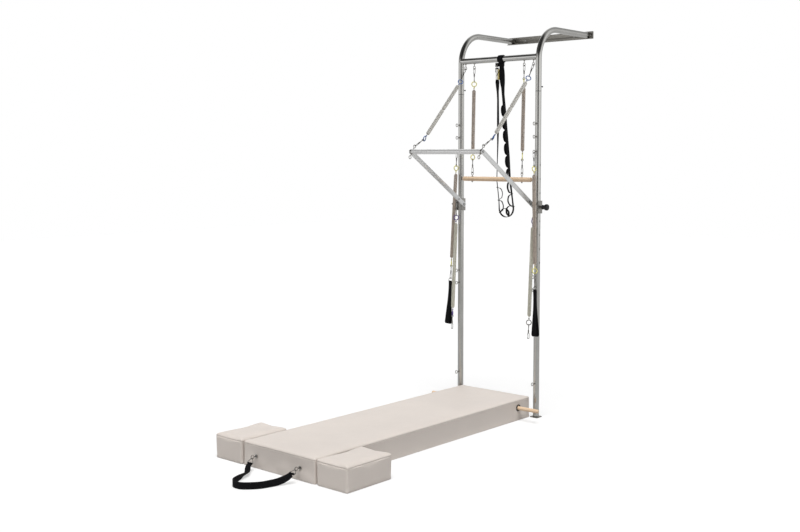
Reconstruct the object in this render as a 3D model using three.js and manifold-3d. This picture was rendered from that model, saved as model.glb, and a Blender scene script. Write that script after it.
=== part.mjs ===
// Pilates tower unit: wall-braced spring tower, push-through bar, roll-down bar, springs,
// straps, floor mat and two side blocks. Millimetres, +Z up, +Y towards the wall.
import * as THREE from 'three';
import { mergeVertices } from 'three/addons/utils/BufferGeometryUtils.js';
import Module from 'manifold-3d';

const wasm = await Module();
wasm.setup();

// Clearances
const seatGap = 0.3;
const linkGap = 0.5;
const slideGap = 0.6;
const passGap = 0.8;
const boreGap = 1.5;
const cutOverrun = 10;
const weldTolerance = 0.0005;

// Tower frame
const tubeSpacing = 620;
const tubeDiameter = 38;
const tubeWall = 2.5;
const crossbarRise = 215;
const crossbarEndShare = 0.45;
const sleeveHeight = 2065;
const spigotLength = 60;
const spigotWall = 2.5;
const neckRise = 180;
const neckBendRadius = 195;
const wallReach = 568;
const bracketPlateLength = 700;
const bracketPlateHeight = 49;
const bracketPlateWall = 5;
const bracketFlangeDepth = 14;
const bracketFlangeWall = 3;
const bracketFlangeGap = 1;
const wallScrewHole = 8;
const outerScrewPlace = 326;
const innerScrewPlace = 200;
const footPlateSide = 57;
const footPlateWall = 5;

// Eye bolts and the heights of those on the uprights
const eyeRadius = 9.75;
const eyeWire = 4.5;
const eyeReach = 25;
const pushEyePlace = 272;
const rollEyePlace = 200;
const highEyeDrop = 203;
const eyePairGap = 82;
const armEyeDrop = 378;
const legEyeDrop = 705;
const lowEyeHeight = 900;
const floorEyeHeight = 217;

// Slide brackets, plungers and pivots
const pivotHeight = 1340;
const holePitch = 88;
const holesAbove = 3;
const holesBelow = 4;
const adjustHole = 9;
const bracketWall = 3;
const bracketHeight = 80;
const bracketLip = 22;
const housingDiameter = 18;
const housingLength = 12;
const plungerPin = 8;
const knobHead = 40;
const knobLength = 52;
const pullPinHead = 15;
const pullPinLength = 40;
const pivotShank = 10;
const pivotHead = 19;
const pivotHeadLength = 5;

// Push-through bar
const armLength = 632;
const armAngle = 33;
const armWidth = 30;
const armThickness = 6;
const pushBarDiameter = 30;
const pushBarWall = 2.5;
const pushUpperAngle = 31;
const pushLowerAngle = 62;

// Snap hooks
const snapWire = 4;
const hookRadius = 6.5;
const hookLength = 42;
const snapBarrel = 9;
const snapNeck = 5;
const hookCornerShare = 0.9;
const barrelStartShare = 0.65;
const swivelRadius = 6.2;
const linkSpan = 107;

// Springs
const springDiameter = 21.5;
const springWire = 3;
const springWindingGap = 0.5;
const springRingRadius = 15.5;
const springRingWire = 5;
const springStem = 5;
const springRingToBody = 37;
const springShoulder = 9;
const rollSpringBody = 403;
const longSpringBody = 563;
const shortSpringCurls = 5;
const longSpringCurls = 5;
const rollLeanAngle = 1.4;
const legLeanAngle = 3.2;
const leftForwardAngle = 0;
const rightForwardAngle = 3.5;

// Roll-down bar
const rollBarDiameter = 30;
const rollBarEnd = 2;
const rollBarSideGap = 3;
const rollEyeReach = 19;
const rollEyeShank = 6;
const rollNut = 11;
const rollNutLength = 5;

// Hand loops
const handRingRadius = 15;
const handRingWire = 4;
const handRingBase = 9;
const handRingBaseShare = 0.9;
const loopLength = 285;
const loopTopWidth = 20;
const loopBottomWidth = 45;
const loopSpread = 34;
const webThickness = 3;

// Safety strap: webbing with a second ply sewn to it at even places, so that it stands off in loops
const wrapWidth = 38;
const wrapThickness = 6;
const wrapOffset = 31;
const strapDrop = 990;
const strapSpread = 59;
const strapWidth = 36;
const strapThickness = 3;
const strapSetBack = 17;
const tabWidth = 24;
const tabDrop = 24;
const tabThickness = 5;
const tabSetBack = 4;
const firstLoopDrop = 268;
const loopPitch = 82;
const loopWidth = 32;
const loopBulge = 38;
const linkHole = 9;
const linkHoleGap = 31;
const linkDepth = 16;
const linkWire = 3.6;
const linkCornerShare = 0.6;

// Mat, side blocks and through bar
const matWidth = 560;
const matLength = 1870;
const matHeight = 136;
const matSetBack = 20;
const matEdge = 9;
const matCrown = 4;
const matCrownStart = 36;
const matCrownShare = 0.3;
const matDrawIn = 3;
const blockWidth = 220;
const blockLength = 325;
const blockGap = 9;
const matBarDiameter = 24;
const matBarReach = 150;
const matBarInset = 128;
const matBarHeight = 82;

// Foot strap
const footEyeSpread = 340;
const footEyeHeight = 68;
const footEyeShank = 30;
const footStrapReach = 285;
const footWebWidth = 37;
const footSleeveWidth = 33;
const footWebFloorGap = 0.5;
const footPullAngle = 30;
const deltaLength = 34;
const deltaWidth = 45;
const deltaWire = 3.6;

// Facets
const tubeSides = 16;
const boreSides = 8;
const neckSteps = 8;
const ringSteps = 8;
const springRingSteps = 10;
const wireSides = 4;
const coilSides = 5;
const smallSides = 6;
const curlSteps = 8;
const handRingSteps = 6;
const strapBendSteps = 6;
const footStrapSteps = 24;

// Half a turn in four steps, and the corner and the side of a cushion
const turnShares = [-1, -0.5, 0, 0.5, 1];
const cornerShares = [0, 0.5, 1];
const sideShares = [0.5, 0, -0.5];

// Turned profiles: radius as a share of the head's, height as a share of the length
const knobShares = [
  [0, 0], [0.62, 0], [0.62, 0.12], [0.475, 0.3], [0.475, 0.48],
  [0.86, 0.6], [1, 0.74], [1, 0.86], [0.72, 0.97], [0, 1],
];
const pullPinShares = [
  [0, 0], [0.6, 0], [0.6, 0.6], [1, 0.65], [1, 0.95], [0.8, 1], [0, 1],
];

// The sides of a hand loop between its ring and its bottom: half spread, then drop
const handLoopShares = [[0.45, 0.35], [0.85, 0.7]];

// One half of a triangular ring: half width, then length
const deltaShares = [[0.2, 0.036], [1, 0.88], [0.93, 1]];

// The safety strap's quarter turns and its distance behind the crossbar, by its length
const strapTwistShares = [
  [0, 1, 0], [0.014, 1, 0.1], [0.045, 1.5, 0.6], [0.08, 2, 1], [0.3, 2, 1], [0.46, 1.89, 1],
  [0.513, 1.78, 1], [0.56, 1.67, 1], [0.75, 1.66, 1], [0.89, 1.34, 1], [0.95, 1, 0.5], [1, 1, 0.24],
];
const strapTailShares = [0.3, 0.6, 0.75, 0.87, 0.94, 1];
const strapLegShares = [0, 0.03, 0.06, 0.1, 0.17, 0.6];
const loopBulgeShares = [0.5, 0.5, 0.5, 0.5, 0.5, 0.55, 0.7, 0.95, 1, 1, 0.8, 0.9];
const loopShapeShares = [[0.02, 0], [0.16, 0.7], [0.5, 1], [0.84, 0.7], [0.98, 0]];

const deg = Math.PI / 180;
const xAxis = new THREE.Vector3(1, 0, 0);
const yAxis = new THREE.Vector3(0, 1, 0);
const zAxis = new THREE.Vector3(0, 0, 1);
const sides = [
  { tag: 'left', sign: -1, forwardAngle: leftForwardAngle },
  { tag: 'right', sign: 1, forwardAngle: rightForwardAngle },
];

// Derived sizes of the tower
const tubeRadius = tubeDiameter / 2;
const uprightPlace = tubeSpacing / 2;
const crossbarHeight = sleeveHeight + crossbarRise;
const neckHeight = crossbarHeight + neckRise;
const highEyeHeight = sleeveHeight - highEyeDrop;
const armEyeHeight = sleeveHeight - armEyeDrop;
const legEyeHeight = sleeveHeight - legEyeDrop;
const crossEyeHeight = crossbarHeight - tubeRadius - eyeReach;
const uprightEyeDepth = tubeRadius + eyeReach;
const eyeSeat = eyeRadius - eyeWire / 2 - snapWire / 2 - linkGap;
const hookHalfWidth = hookRadius + snapWire / 2;
const swivelPlace = linkSpan - springRingRadius + (springRingWire + snapWire) / 2 + linkGap - swivelRadius;
const rollSpan = rollSpringBody + 2 * springRingToBody;
const longSpan = longSpringBody + 2 * springRingToBody;
const armLeanClear = springDiameter / 2 + hookHalfWidth + passGap;
const armLean = Math.atan2(armLeanClear, armEyeHeight - legEyeHeight) / deg;
const barEyeReach = pushBarDiameter / 2 + eyeReach;
const matFarFace = -matSetBack;
const matNearFace = matFarFace - matLength;
const footStrapFront = matNearFace - footStrapReach;
const wallFace = wallReach + bracketPlateWall;
const unitMiddle = (footStrapFront + wallFace) / 2;

function finish(color, roughness, metalness) {
  return new THREE.MeshStandardMaterial({ color, roughness, metalness });
}

const steel = finish(0xb4b2ac, 0.3, 1);
const darkSteel = finish(0x8d8a84, 0.35, 1);
const aluminium = finish(0xb9bab8, 0.45, 0.9);
const springSteel = finish(0x9a938a, 0.4, 0.9);
const blackPlastic = finish(0x17171a, 0.5, 0);
const webbing = finish(0x141416, 0.9, 0);
const beech = finish(0xe0b98c, 0.6, 0);
const vinyl = finish(0xd9d0c5, 0.55, 0);

const unit = new THREE.Group();
unit.position.y = -unitMiddle;

function addPart(name, geometry, material, parent = unit) {
  const mesh = new THREE.Mesh(geometry, material);
  mesh.name = name;
  parent.add(mesh);
}

function frameAt(x, y, z, parent = unit) {
  const frame = new THREE.Group();
  frame.position.set(x, y, z);
  parent.add(frame);
  return frame;
}

function solid(geometry) {
  const bare = geometry.clone();
  bare.deleteAttribute('normal');
  bare.deleteAttribute('uv');
  const merged = mergeVertices(bare, weldTolerance);
  const vertProperties = Float32Array.from(merged.attributes.position.array);
  const triVerts = Uint32Array.from(merged.index.array);
  return new wasm.Manifold(new wasm.Mesh({ numProp: 3, vertProperties, triVerts }));
}

function skin(manifold) {
  const mesh = manifold.getMesh();
  const geometry = new THREE.BufferGeometry();
  geometry.setAttribute('position', new THREE.BufferAttribute(mesh.vertProperties, 3));
  geometry.setIndex(new THREE.BufferAttribute(mesh.triVerts, 1));
  geometry.computeVertexNormals();
  return geometry;
}

function fuse(...geometries) {
  return skin(geometries.map(solid).reduce((whole, piece) => whole.add(piece)));
}

function cut(geometry, ...tools) {
  return skin(tools.map(solid).reduce((rest, tool) => rest.subtract(tool), solid(geometry)));
}

// A bore of flat facets whose flats stand clear of a round of this radius.
function clearRadius(radius, facets) {
  return radius / Math.cos(Math.PI / facets);
}

function rodZ(radius, from, to, facets) {
  const rod = new THREE.CylinderGeometry(radius, radius, to - from, facets);
  return rod.rotateX(Math.PI / 2).translate(0, 0, (from + to) / 2);
}

function rodX(radius, from, to, facets) {
  const rod = new THREE.CylinderGeometry(radius, radius, Math.abs(to - from), facets);
  return rod.rotateZ(Math.PI / 2).translate((from + to) / 2, 0, 0);
}

function rodY(radius, from, to, facets) {
  const rod = new THREE.CylinderGeometry(radius, radius, to - from, facets);
  return rod.translate(0, (from + to) / 2, 0);
}

function box(width, depth, height, x, y, z) {
  return new THREE.BoxGeometry(width, depth, height).translate(x, y, z);
}

// A turned piece about Z: profile points are [radius, height], from axis to axis.
function turnedZ(profile, facets) {
  const points = profile.map(([radius, height]) => new THREE.Vector2(radius, height));
  return new THREE.LatheGeometry(points, facets).rotateX(Math.PI / 2);
}

function ringSolid(rings, closed = false) {
  const count = rings[0].length;
  const positions = rings.flat().flatMap((point) => [point.x, point.y, point.z]);
  const index = [];
  const spans = closed ? rings.length : rings.length - 1;
  for (let i = 0; i < spans; i += 1) {
    const here = i * count;
    const next = ((i + 1) % rings.length) * count;
    for (let j = 0; j < count; j += 1) {
      const k = (j + 1) % count;
      index.push(here + j, here + k, next + k, here + j, next + k, next + j);
    }
  }
  if (!closed) {
    const last = (rings.length - 1) * count;
    for (let j = 1; j < count - 1; j += 1) {
      index.push(0, j + 1, j, last, last + j, last + j + 1);
    }
  }
  const geometry = new THREE.BufferGeometry();
  geometry.setAttribute('position', new THREE.Float32BufferAttribute(positions, 3));
  geometry.setIndex(index);
  return geometry;
}

// Carries an outline of [thickness, width] points along a path; width follows the up vectors.
function sweep(points, outline, up, closed = false) {
  const count = points.length;
  const rings = points.map((point, i) => {
    const before = points[closed ? (i + count - 1) % count : Math.max(i - 1, 0)];
    const after = points[closed ? (i + 1) % count : Math.min(i + 1, count - 1)];
    const along = after.clone().sub(before).normalize();
    const across = Array.isArray(up) ? up[i] : up;
    const side = across.clone().cross(along).normalize();
    const rise = along.clone().cross(side);
    const section = typeof outline === 'function' ? outline(i) : outline;
    return section.map(([a, b]) => point.clone().addScaledVector(side, a).addScaledVector(rise, b));
  });
  return ringSolid(rings, closed);
}

function roundOutline(radius, facets, turn = 0) {
  return Array.from({ length: facets }, (_, i) => {
    const angle = ((i + turn) / facets) * 2 * Math.PI;
    return [radius * Math.cos(angle), radius * Math.sin(angle)];
  });
}

// A wire's outline has a flat, not an edge, on the inner side of its bends.
function wireOutline(wire, facets = wireSides) {
  return roundOutline(wire / 2, facets, 0.5);
}

function stripOutline(thickness, width) {
  const t = thickness / 2;
  const w = width / 2;
  return [[-t, -w], [t, -w], [t, w], [-t, w]];
}

// A closed wire ring; its plane is square to the normal.
function wireRing(radius, wire, normal, steps = ringSteps) {
  const first = normal === zAxis ? xAxis : zAxis;
  const second = normal.clone().cross(first);
  const points = Array.from({ length: steps }, (_, i) => {
    const angle = (i / steps) * 2 * Math.PI;
    const along = first.clone().multiplyScalar(radius * Math.cos(angle));
    return along.addScaledVector(second, radius * Math.sin(angle));
  });
  return sweep(points, wireOutline(wire), normal, true);
}

// An eye bolt that stands up along Z from a surface at z = 0, ring plane square to X.
function eyeBolt(reach, embed) {
  const ring = wireRing(eyeRadius, eyeWire, xAxis).translate(0, 0, reach);
  return fuse(ring, rodZ(eyeWire / 2, -embed, reach - eyeRadius, smallSides));
}

function neckPath(sign, from, to) {
  const points = [new THREE.Vector3(sign * uprightPlace, 0, from)];
  for (let i = 0; i <= neckSteps; i += 1) {
    const angle = (i / neckSteps) * Math.PI / 2;
    const y = neckBendRadius * (1 - Math.cos(angle));
    const z = neckHeight - neckBendRadius * (1 - Math.sin(angle));
    points.push(new THREE.Vector3(sign * uprightPlace, y, z));
  }
  points.push(new THREE.Vector3(sign * uprightPlace, to, neckHeight));
  return points;
}

function uprightEyeHeights() {
  return [
    highEyeHeight, highEyeHeight - eyePairGap, armEyeHeight, legEyeHeight,
    lowEyeHeight, lowEyeHeight - eyePairGap, floorEyeHeight,
  ];
}

function upright(sign) {
  const bottom = footPlateWall + seatGap;
  const top = sleeveHeight - seatGap;
  const bore = rodZ(tubeRadius - tubeWall, bottom - cutOverrun, top + cutOverrun, tubeSides);
  const holes = [];
  for (let step = -holesBelow; step <= holesAbove; step += 1) {
    const hole = rodX(adjustHole / 2, 0, sign * (tubeRadius + cutOverrun), boreSides);
    holes.push(hole.translate(0, 0, pivotHeight + step * holePitch));
  }
  const tube = cut(rodZ(tubeRadius, bottom, top, tubeSides), bore, ...holes);
  const eyes = uprightEyeHeights().map((height) => (
    eyeBolt(eyeReach, tubeWall).rotateX(Math.PI / 2).translate(0, -tubeRadius, height)
  ));
  return fuse(tube, ...eyes).translate(sign * uprightPlace, 0, 0);
}

function gooseneck(sign) {
  const end = wallReach - seatGap;
  const spigotRadius = tubeRadius - tubeWall - seatGap;
  const spigotFoot = sleeveHeight - spigotLength;
  const outer = sweep(neckPath(sign, sleeveHeight, end), roundOutline(tubeRadius, tubeSides), xAxis);
  const spigot = rodZ(spigotRadius, spigotFoot, sleeveHeight + tubeWall, tubeSides);
  const borePath = neckPath(sign, spigotFoot - cutOverrun, end + cutOverrun);
  const bore = sweep(borePath, roundOutline(spigotRadius - spigotWall, boreSides), xAxis);
  return cut(fuse(outer, spigot.translate(sign * uprightPlace, 0, 0)), bore);
}

function crossbar() {
  const copes = sides.map(({ sign }) => {
    const path = neckPath(sign, sleeveHeight, wallReach);
    return sweep(path, roundOutline(clearRadius(tubeRadius + seatGap, tubeSides), tubeSides), xAxis);
  });
  const reach = uprightPlace - tubeRadius * crossbarEndShare;
  const bore = rodX(tubeRadius - tubeWall, -uprightPlace, uprightPlace, tubeSides);
  const bar = rodX(tubeRadius, -reach, reach, tubeSides);
  const lift = (piece) => piece.translate(0, 0, crossbarHeight);
  const eyes = [-pushEyePlace, -rollEyePlace, rollEyePlace, pushEyePlace].map((place) => (
    eyeBolt(eyeReach, tubeWall).rotateX(Math.PI).translate(place, 0, crossbarHeight - tubeRadius)
  ));
  return fuse(cut(lift(bar), lift(bore), ...copes), ...eyes);
}

function wallBracket() {
  const bottom = neckHeight - tubeRadius - bracketFlangeGap - bracketFlangeWall;
  const plateMiddle = wallReach + bracketPlateWall / 2;
  const plateHeight = bottom + bracketPlateHeight / 2;
  const plate = box(bracketPlateLength, bracketPlateWall, bracketPlateHeight, 0, plateMiddle, plateHeight);
  const flangeMiddle = wallReach - (bracketFlangeDepth - bracketPlateWall) / 2;
  const flangeSize = [bracketPlateLength, bracketFlangeDepth + bracketPlateWall, bracketFlangeWall];
  const flange = box(...flangeSize, 0, flangeMiddle, bottom + bracketFlangeWall / 2);
  const places = [-outerScrewPlace, -innerScrewPlace, innerScrewPlace, outerScrewPlace];
  const screwHoles = places.map((place) => (
    rodY(wallScrewHole / 2, wallReach - cutOverrun, wallFace + cutOverrun, boreSides)
      .translate(place, 0, plateHeight)
  ));
  return cut(fuse(plate, flange), ...screwHoles);
}

function footPlate() {
  return box(footPlateSide, footPlateSide, footPlateWall, 0, 0, footPlateWall / 2);
}

// A channel that wraps the tube from the wall side and is open to the eye bolts in front.
function slideBracket(sign) {
  const inner = tubeRadius + slideGap;
  const outer = inner + bracketWall;
  const outline = [
    [-outer, -bracketLip], [-inner, -bracketLip], [-inner, inner], [inner, inner],
    [inner, -bracketLip], [outer, -bracketLip], [outer, outer], [-outer, outer],
  ].map(([x, y]) => new THREE.Vector2(x, y));
  const channel = new THREE.ExtrudeGeometry(new THREE.Shape(outline), {
    depth: bracketHeight, bevelEnabled: false,
  }).translate(0, 0, -bracketHeight / 2);
  const housingEnd = sign * (outer + housingLength);
  const housing = rodX(housingDiameter / 2, sign * (inner + seatGap), housingEnd, tubeSides);
  const pinBore = clearRadius(plungerPin / 2 + seatGap, boreSides);
  const pinHole = rodX(pinBore, sign * tubeRadius, sign * (outer + housingLength + cutOverrun), boreSides);
  const pivotBore = clearRadius(pivotShank / 2 + seatGap, boreSides);
  const pivotHole = rodX(pivotBore, -sign * tubeRadius, -sign * (outer + cutOverrun), boreSides);
  return cut(fuse(channel, housing), pinHole, pivotHole);
}

function pivotBolt(sign) {
  const inner = tubeRadius + slideGap;
  const armFar = inner + bracketWall + seatGap + armThickness + seatGap;
  const shank = rodX(pivotShank / 2, -sign * inner, -sign * (armFar + seatGap), boreSides);
  const head = rodX(pivotHead / 2, -sign * armFar, -sign * (armFar + pivotHeadLength), smallSides);
  return fuse(shank, head);
}

// The black knob has a waist between its skirt and its mushroom head; the far side has a slim pull pin.
function plunger(sign) {
  const tip = tubeRadius + seatGap;
  const base = tubeRadius + slideGap + bracketWall + housingLength + seatGap;
  const radius = (sign > 0 ? knobHead : pullPinHead) / 2;
  const length = sign > 0 ? knobLength : pullPinLength;
  const profileShares = sign > 0 ? knobShares : pullPinShares;
  const profile = profileShares.map(([across, along]) => [across * radius, base + along * length]);
  const grip = turnedZ(profile, tubeSides).rotateY(sign * Math.PI / 2);
  const pin = rodX(plungerPin / 2, sign * tip, sign * (base + seatGap), boreSides);
  return fuse(grip, pin);
}

// Built in the arm's own frame: pivot at the origin, bar towards -Y.
function pushArm() {
  const half = armWidth / 2;
  const outline = new THREE.Shape();
  outline.absarc(0, 0, half, Math.PI, 0, true);
  outline.lineTo(half, -armLength);
  outline.absarc(0, -armLength, half, 0, Math.PI, true);
  outline.closePath();
  const plate = new THREE.ExtrudeGeometry(outline, {
    depth: armThickness, bevelEnabled: false, curveSegments: smallSides,
  });
  const bar = plate.rotateY(Math.PI / 2).translate(-armThickness / 2, 0, 0);
  const bore = clearRadius(pivotShank / 2 + seatGap, boreSides);
  return cut(bar, rodX(bore, -armThickness - cutOverrun, armThickness + cutOverrun, boreSides));
}

function pushBar(reach) {
  const tube = rodX(pushBarDiameter / 2, -reach, reach, tubeSides);
  const bore = rodX(pushBarDiameter / 2 - pushBarWall, -reach - cutOverrun, reach + cutOverrun, boreSides);
  const eyes = [];
  for (const { sign } of sides) {
    const place = sign * pushEyePlace;
    const lift = pushBarDiameter / 2;
    eyes.push(eyeBolt(eyeReach, pushBarWall).translate(place, 0, lift));
    eyes.push(eyeBolt(eyeReach, pushBarWall).rotateX(Math.PI).translate(place, 0, -lift));
  }
  return fuse(cut(tube, bore), ...eyes);
}

// Hangs down -Z from an eye at the origin; turned sets the hook across the swivel eye.
function snapHook(turned = false) {
  const top = -eyeSeat - hookRadius;
  const places = turnShares.map((share) => {
    const angle = share * Math.PI / 2;
    return new THREE.Vector3(hookRadius * Math.sin(angle), 0, top + hookRadius * Math.cos(angle));
  });
  const low = -hookLength;
  const corner = hookRadius * hookCornerShare;
  places.push(new THREE.Vector3(corner, 0, low + hookRadius));
  places.push(new THREE.Vector3(0, 0, low));
  places.push(new THREE.Vector3(-corner, 0, low + hookRadius));
  const hook = sweep(places, wireOutline(snapWire), yAxis, true);
  if (turned) {
    hook.rotateZ(Math.PI / 2);
  }
  const neckEnd = -swivelPlace + swivelRadius;
  const barrelStart = neckEnd + (low - neckEnd) * barrelStartShare;
  const barrel = snapBarrel / 2;
  const neck = turnedZ([
    [0, neckEnd], [snapNeck / 2, neckEnd], [barrel, barrelStart], [barrel, low],
    [0, low + snapWire / 2],
  ], coilSides);
  const swivel = wireRing(swivelRadius, snapWire, yAxis).translate(0, 0, -swivelPlace);
  return fuse(hook, neck, swivel);
}

function helixPoints(radius, length, curls, top) {
  const steps = curls * curlSteps;
  const points = [];
  for (let i = 0; i <= steps; i += 1) {
    const angle = (i / curlSteps) * 2 * Math.PI;
    const z = top - (i / steps) * length;
    points.push(new THREE.Vector3(radius * Math.cos(angle), radius * Math.sin(angle), z));
  }
  return points;
}

function leastGap(points, wire) {
  let least = Infinity;
  for (let i = 0; i < points.length; i += 1) {
    for (let j = i + curlSteps / 2; j < points.length; j += 1) {
      least = Math.min(least, points[i].distanceTo(points[j]));
    }
  }
  return least - wire;
}

// A close-wound tension spring hanging -Z from the centre of its upper ring to that of its lower one.
// One proud wire winds round the close-wound wall and runs into it at both ends.
function tensionSpring(span, curls) {
  const top = -springRingToBody;
  const bottom = springRingToBody - span;
  const wall = springDiameter / 2 - springWire - springWindingGap;
  const stem = springStem / 2;
  const wound = turnedZ([
    [0, springRingRadius - span], [stem, springRingRadius - span], [stem, bottom],
    [wall, bottom + springShoulder], [wall, top - springShoulder],
    [stem, top], [stem, -springRingRadius], [0, -springRingRadius],
  ], curlSteps);
  const radius = (springDiameter - springWire) / 2;
  const woundLength = top - bottom - 4 * springShoulder;
  const wire = helixPoints(radius, woundLength, curls, top - 2 * springShoulder);
  console.log(`spring winding: least gap to itself ${leastGap(wire, springWire).toFixed(2)} mm`);
  const first = new THREE.Vector3(0, 0, top - springShoulder);
  const last = new THREE.Vector3(0, 0, bottom + springShoulder);
  const tube = sweep([first, ...wire, last], wireOutline(springWire, coilSides), zAxis);
  const upperRing = wireRing(springRingRadius, springRingWire, xAxis, springRingSteps);
  const lowerRing = upperRing.clone().translate(0, 0, -span);
  return fuse(wound, tube, upperRing, lowerRing);
}

function rollBar(reach, eyeDrop) {
  const radius = rollBarDiameter / 2;
  const bar = turnedZ([
    [0, -reach], [radius - rollBarEnd, -reach], [radius, -reach + rollBarEnd],
    [radius, reach - rollBarEnd], [radius - rollBarEnd, reach], [0, reach],
  ], tubeSides).rotateY(Math.PI / 2);
  const bore = clearRadius(rollEyeShank / 2 + seatGap, boreSides);
  const holes = sides.map(({ sign }) => (
    rodZ(bore, -radius - cutOverrun, radius + cutOverrun, boreSides).translate(sign * rollEyePlace, 0, 0)
  ));
  return cut(bar, ...holes).translate(0, 0, -eyeDrop);
}

// The eye bolt that goes down through the wooden bar to a nut below it.
function rollEye() {
  const radius = rollBarDiameter / 2;
  const ring = wireRing(eyeRadius, eyeWire, xAxis);
  const centre = radius + rollEyeReach;
  const end = -centre - radius - seatGap - rollNutLength - seatGap;
  const shank = rodZ(rollEyeShank / 2, end, -eyeRadius, smallSides);
  const nut = rodZ(rollNut / 2, end + seatGap, end + seatGap + rollNutLength, smallSides);
  return fuse(ring, shank, nut);
}

function handRingDrop(span) {
  const hold = 2 * linkSpan + span - eyeSeat;
  return hold - (snapWire + handRingWire) / 2 - seatGap + handRingRadius;
}

// A D-shaped ring with its straight base below, where the webbing passes.
function handRing() {
  const places = Array.from({ length: handRingSteps + 1 }, (_, i) => {
    const angle = (i / handRingSteps) * Math.PI;
    return new THREE.Vector3(handRingRadius * Math.cos(angle), 0, handRingRadius * Math.sin(angle));
  });
  const corner = handRingRadius * handRingBaseShare;
  places.push(new THREE.Vector3(-corner, 0, -handRingBase));
  places.push(new THREE.Vector3(corner, 0, -handRingBase));
  return sweep(places, wireOutline(handRingWire), yAxis.clone().negate(), true);
}

// A webbing loop through the ring, narrow where it is gathered and wide at the hand.
function handLoop(ringDrop) {
  const seat = -ringDrop - handRingBase;
  const gather = handRingWire / 2 + slideGap + webThickness / 2;
  const bottom = seat - loopLength;
  const half = loopSpread / 2;
  const places = turnShares.map((share) => {
    const angle = share * Math.PI / 2;
    return new THREE.Vector3(0, gather * Math.sin(angle), seat + gather * Math.cos(angle));
  });
  const side = (sign) => handLoopShares.map(([across, down]) => (
    new THREE.Vector3(0, sign * half * across, seat - loopLength * down)
  ));
  places.push(...side(1));
  for (const share of turnShares) {
    const angle = share * Math.PI / 2;
    places.push(new THREE.Vector3(0, -half * Math.sin(angle), bottom + half - half * Math.cos(angle)));
  }
  places.push(...side(-1).reverse());
  const band = (i) => {
    const share = Math.min((seat - places[i].z) / loopLength, 1);
    const width = loopTopWidth + (loopBottomWidth - loopTopWidth) * Math.max(share, 0);
    return stripOutline(webThickness, width);
  };
  return sweep(places, band, xAxis, true);
}

// The value of a table's columns at a share between its rows.
function between(rows, share) {
  const next = Math.max(rows.findIndex(([start]) => start >= share), 1);
  const [from, ...before] = rows[next - 1];
  const [to, ...after] = rows[next];
  return before.map((value, i) => value + (after[i] - value) * ((share - from) / (to - from)));
}

// The strap hangs down its leg, goes round the bottom and comes up as its tail; places are by run.
function strapRoute(top, tailTop) {
  const centre = top - strapDrop + strapSpread;
  const legReach = 2 * strapSpread - wrapOffset;
  const legRun = Math.hypot(legReach, top - centre);
  const bend = Math.PI * strapSpread;
  const whole = legRun + bend + tailTop - centre;
  const place = (run) => {
    const [turn, back] = between(strapTwistShares, Math.min(run / whole, 1));
    const y = back * strapSetBack;
    const angle = turn * Math.PI / 2;
    const across = new THREE.Vector3(Math.sin(angle), -Math.cos(angle), 0);
    if (run < legRun) {
      const share = run / legRun;
      return [new THREE.Vector3(wrapOffset + legReach * share, y, top + (centre - top) * share), across];
    }
    if (run < legRun + bend) {
      const round = (run - legRun) / strapSpread;
      const x = strapSpread * (1 + Math.cos(round));
      return [new THREE.Vector3(x, y, centre - strapSpread * Math.sin(round)), across];
    }
    return [new THREE.Vector3(0, y, centre + run - legRun - bend), across];
  };
  const runs = strapLegShares.map((share) => share * legRun);
  for (let step = 0; step <= strapBendSteps; step += 1) {
    runs.push(legRun + bend * step / strapBendSteps);
  }
  runs.push(...strapTailShares.map((share) => legRun + bend + (whole - legRun - bend) * share));
  return { place, runs };
}

// The second ply stands off inwards between two sewn places.
function strapLoop(place, from, bulge) {
  const [start] = place(from);
  const [end] = place(from + loopPitch);
  const chord = end.clone().sub(start);
  const inward = new THREE.Vector3(chord.z, 0, -chord.x).normalize();
  const points = loopShapeShares.map(([along, out]) => (
    start.clone().addScaledVector(chord, along).addScaledVector(inward, out * bulge)
  ));
  const widths = loopShapeShares.map(([along]) => place(from + along * loopPitch)[1]);
  return sweep(points, stripOutline(strapThickness, loopWidth), widths);
}

function safetyStrap() {
  const wrapInner = clearRadius(tubeRadius + seatGap, tubeSides);
  const wrap = rodX(wrapInner + wrapThickness, -wrapWidth / 2, wrapWidth / 2, tubeSides);
  const wrapBore = rodX(wrapInner, -wrapWidth / 2 - cutOverrun, wrapWidth / 2 + cutOverrun, tubeSides);
  const ring = cut(wrap, wrapBore).translate(wrapOffset, 0, crossbarHeight);
  const top = crossbarHeight - wrapInner - wrapThickness / 2;
  const tabLength = (tabWidth + wrapWidth) / 2 + wrapOffset;
  const upperHole = top - tabDrop / 2;
  const tab = box(tabLength, tabThickness, tabDrop, (tabLength - tabWidth) / 2, tabSetBack, upperHole);
  const lowerHole = upperHole - linkHoleGap;
  const tailEnd = box(tabWidth, tabThickness, tabDrop, 0, tabSetBack, lowerHole);
  const { place, runs } = strapRoute(top, lowerHole - linkHole);
  const stations = runs.map(place);
  const points = stations.map(([point]) => point);
  const widths = stations.map(([, across]) => across);
  const band = sweep(points, stripOutline(strapThickness, strapWidth), widths);
  const loops = loopBulgeShares.map((share, i) => (
    strapLoop(place, firstLoopDrop + i * loopPitch, loopBulge * share)
  ));
  const holes = [upperHole, lowerHole].map((height) => (
    rodY(linkHole / 2, -cutOverrun, tabSetBack + tabThickness + cutOverrun, boreSides)
      .translate(0, 0, height)
  ));
  const bare = rodX(wrapInner, -uprightPlace, uprightPlace, tubeSides).translate(0, 0, crossbarHeight);
  return cut(fuse(ring, tab, tailEnd, band, ...loops), bare, ...holes);
}

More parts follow.
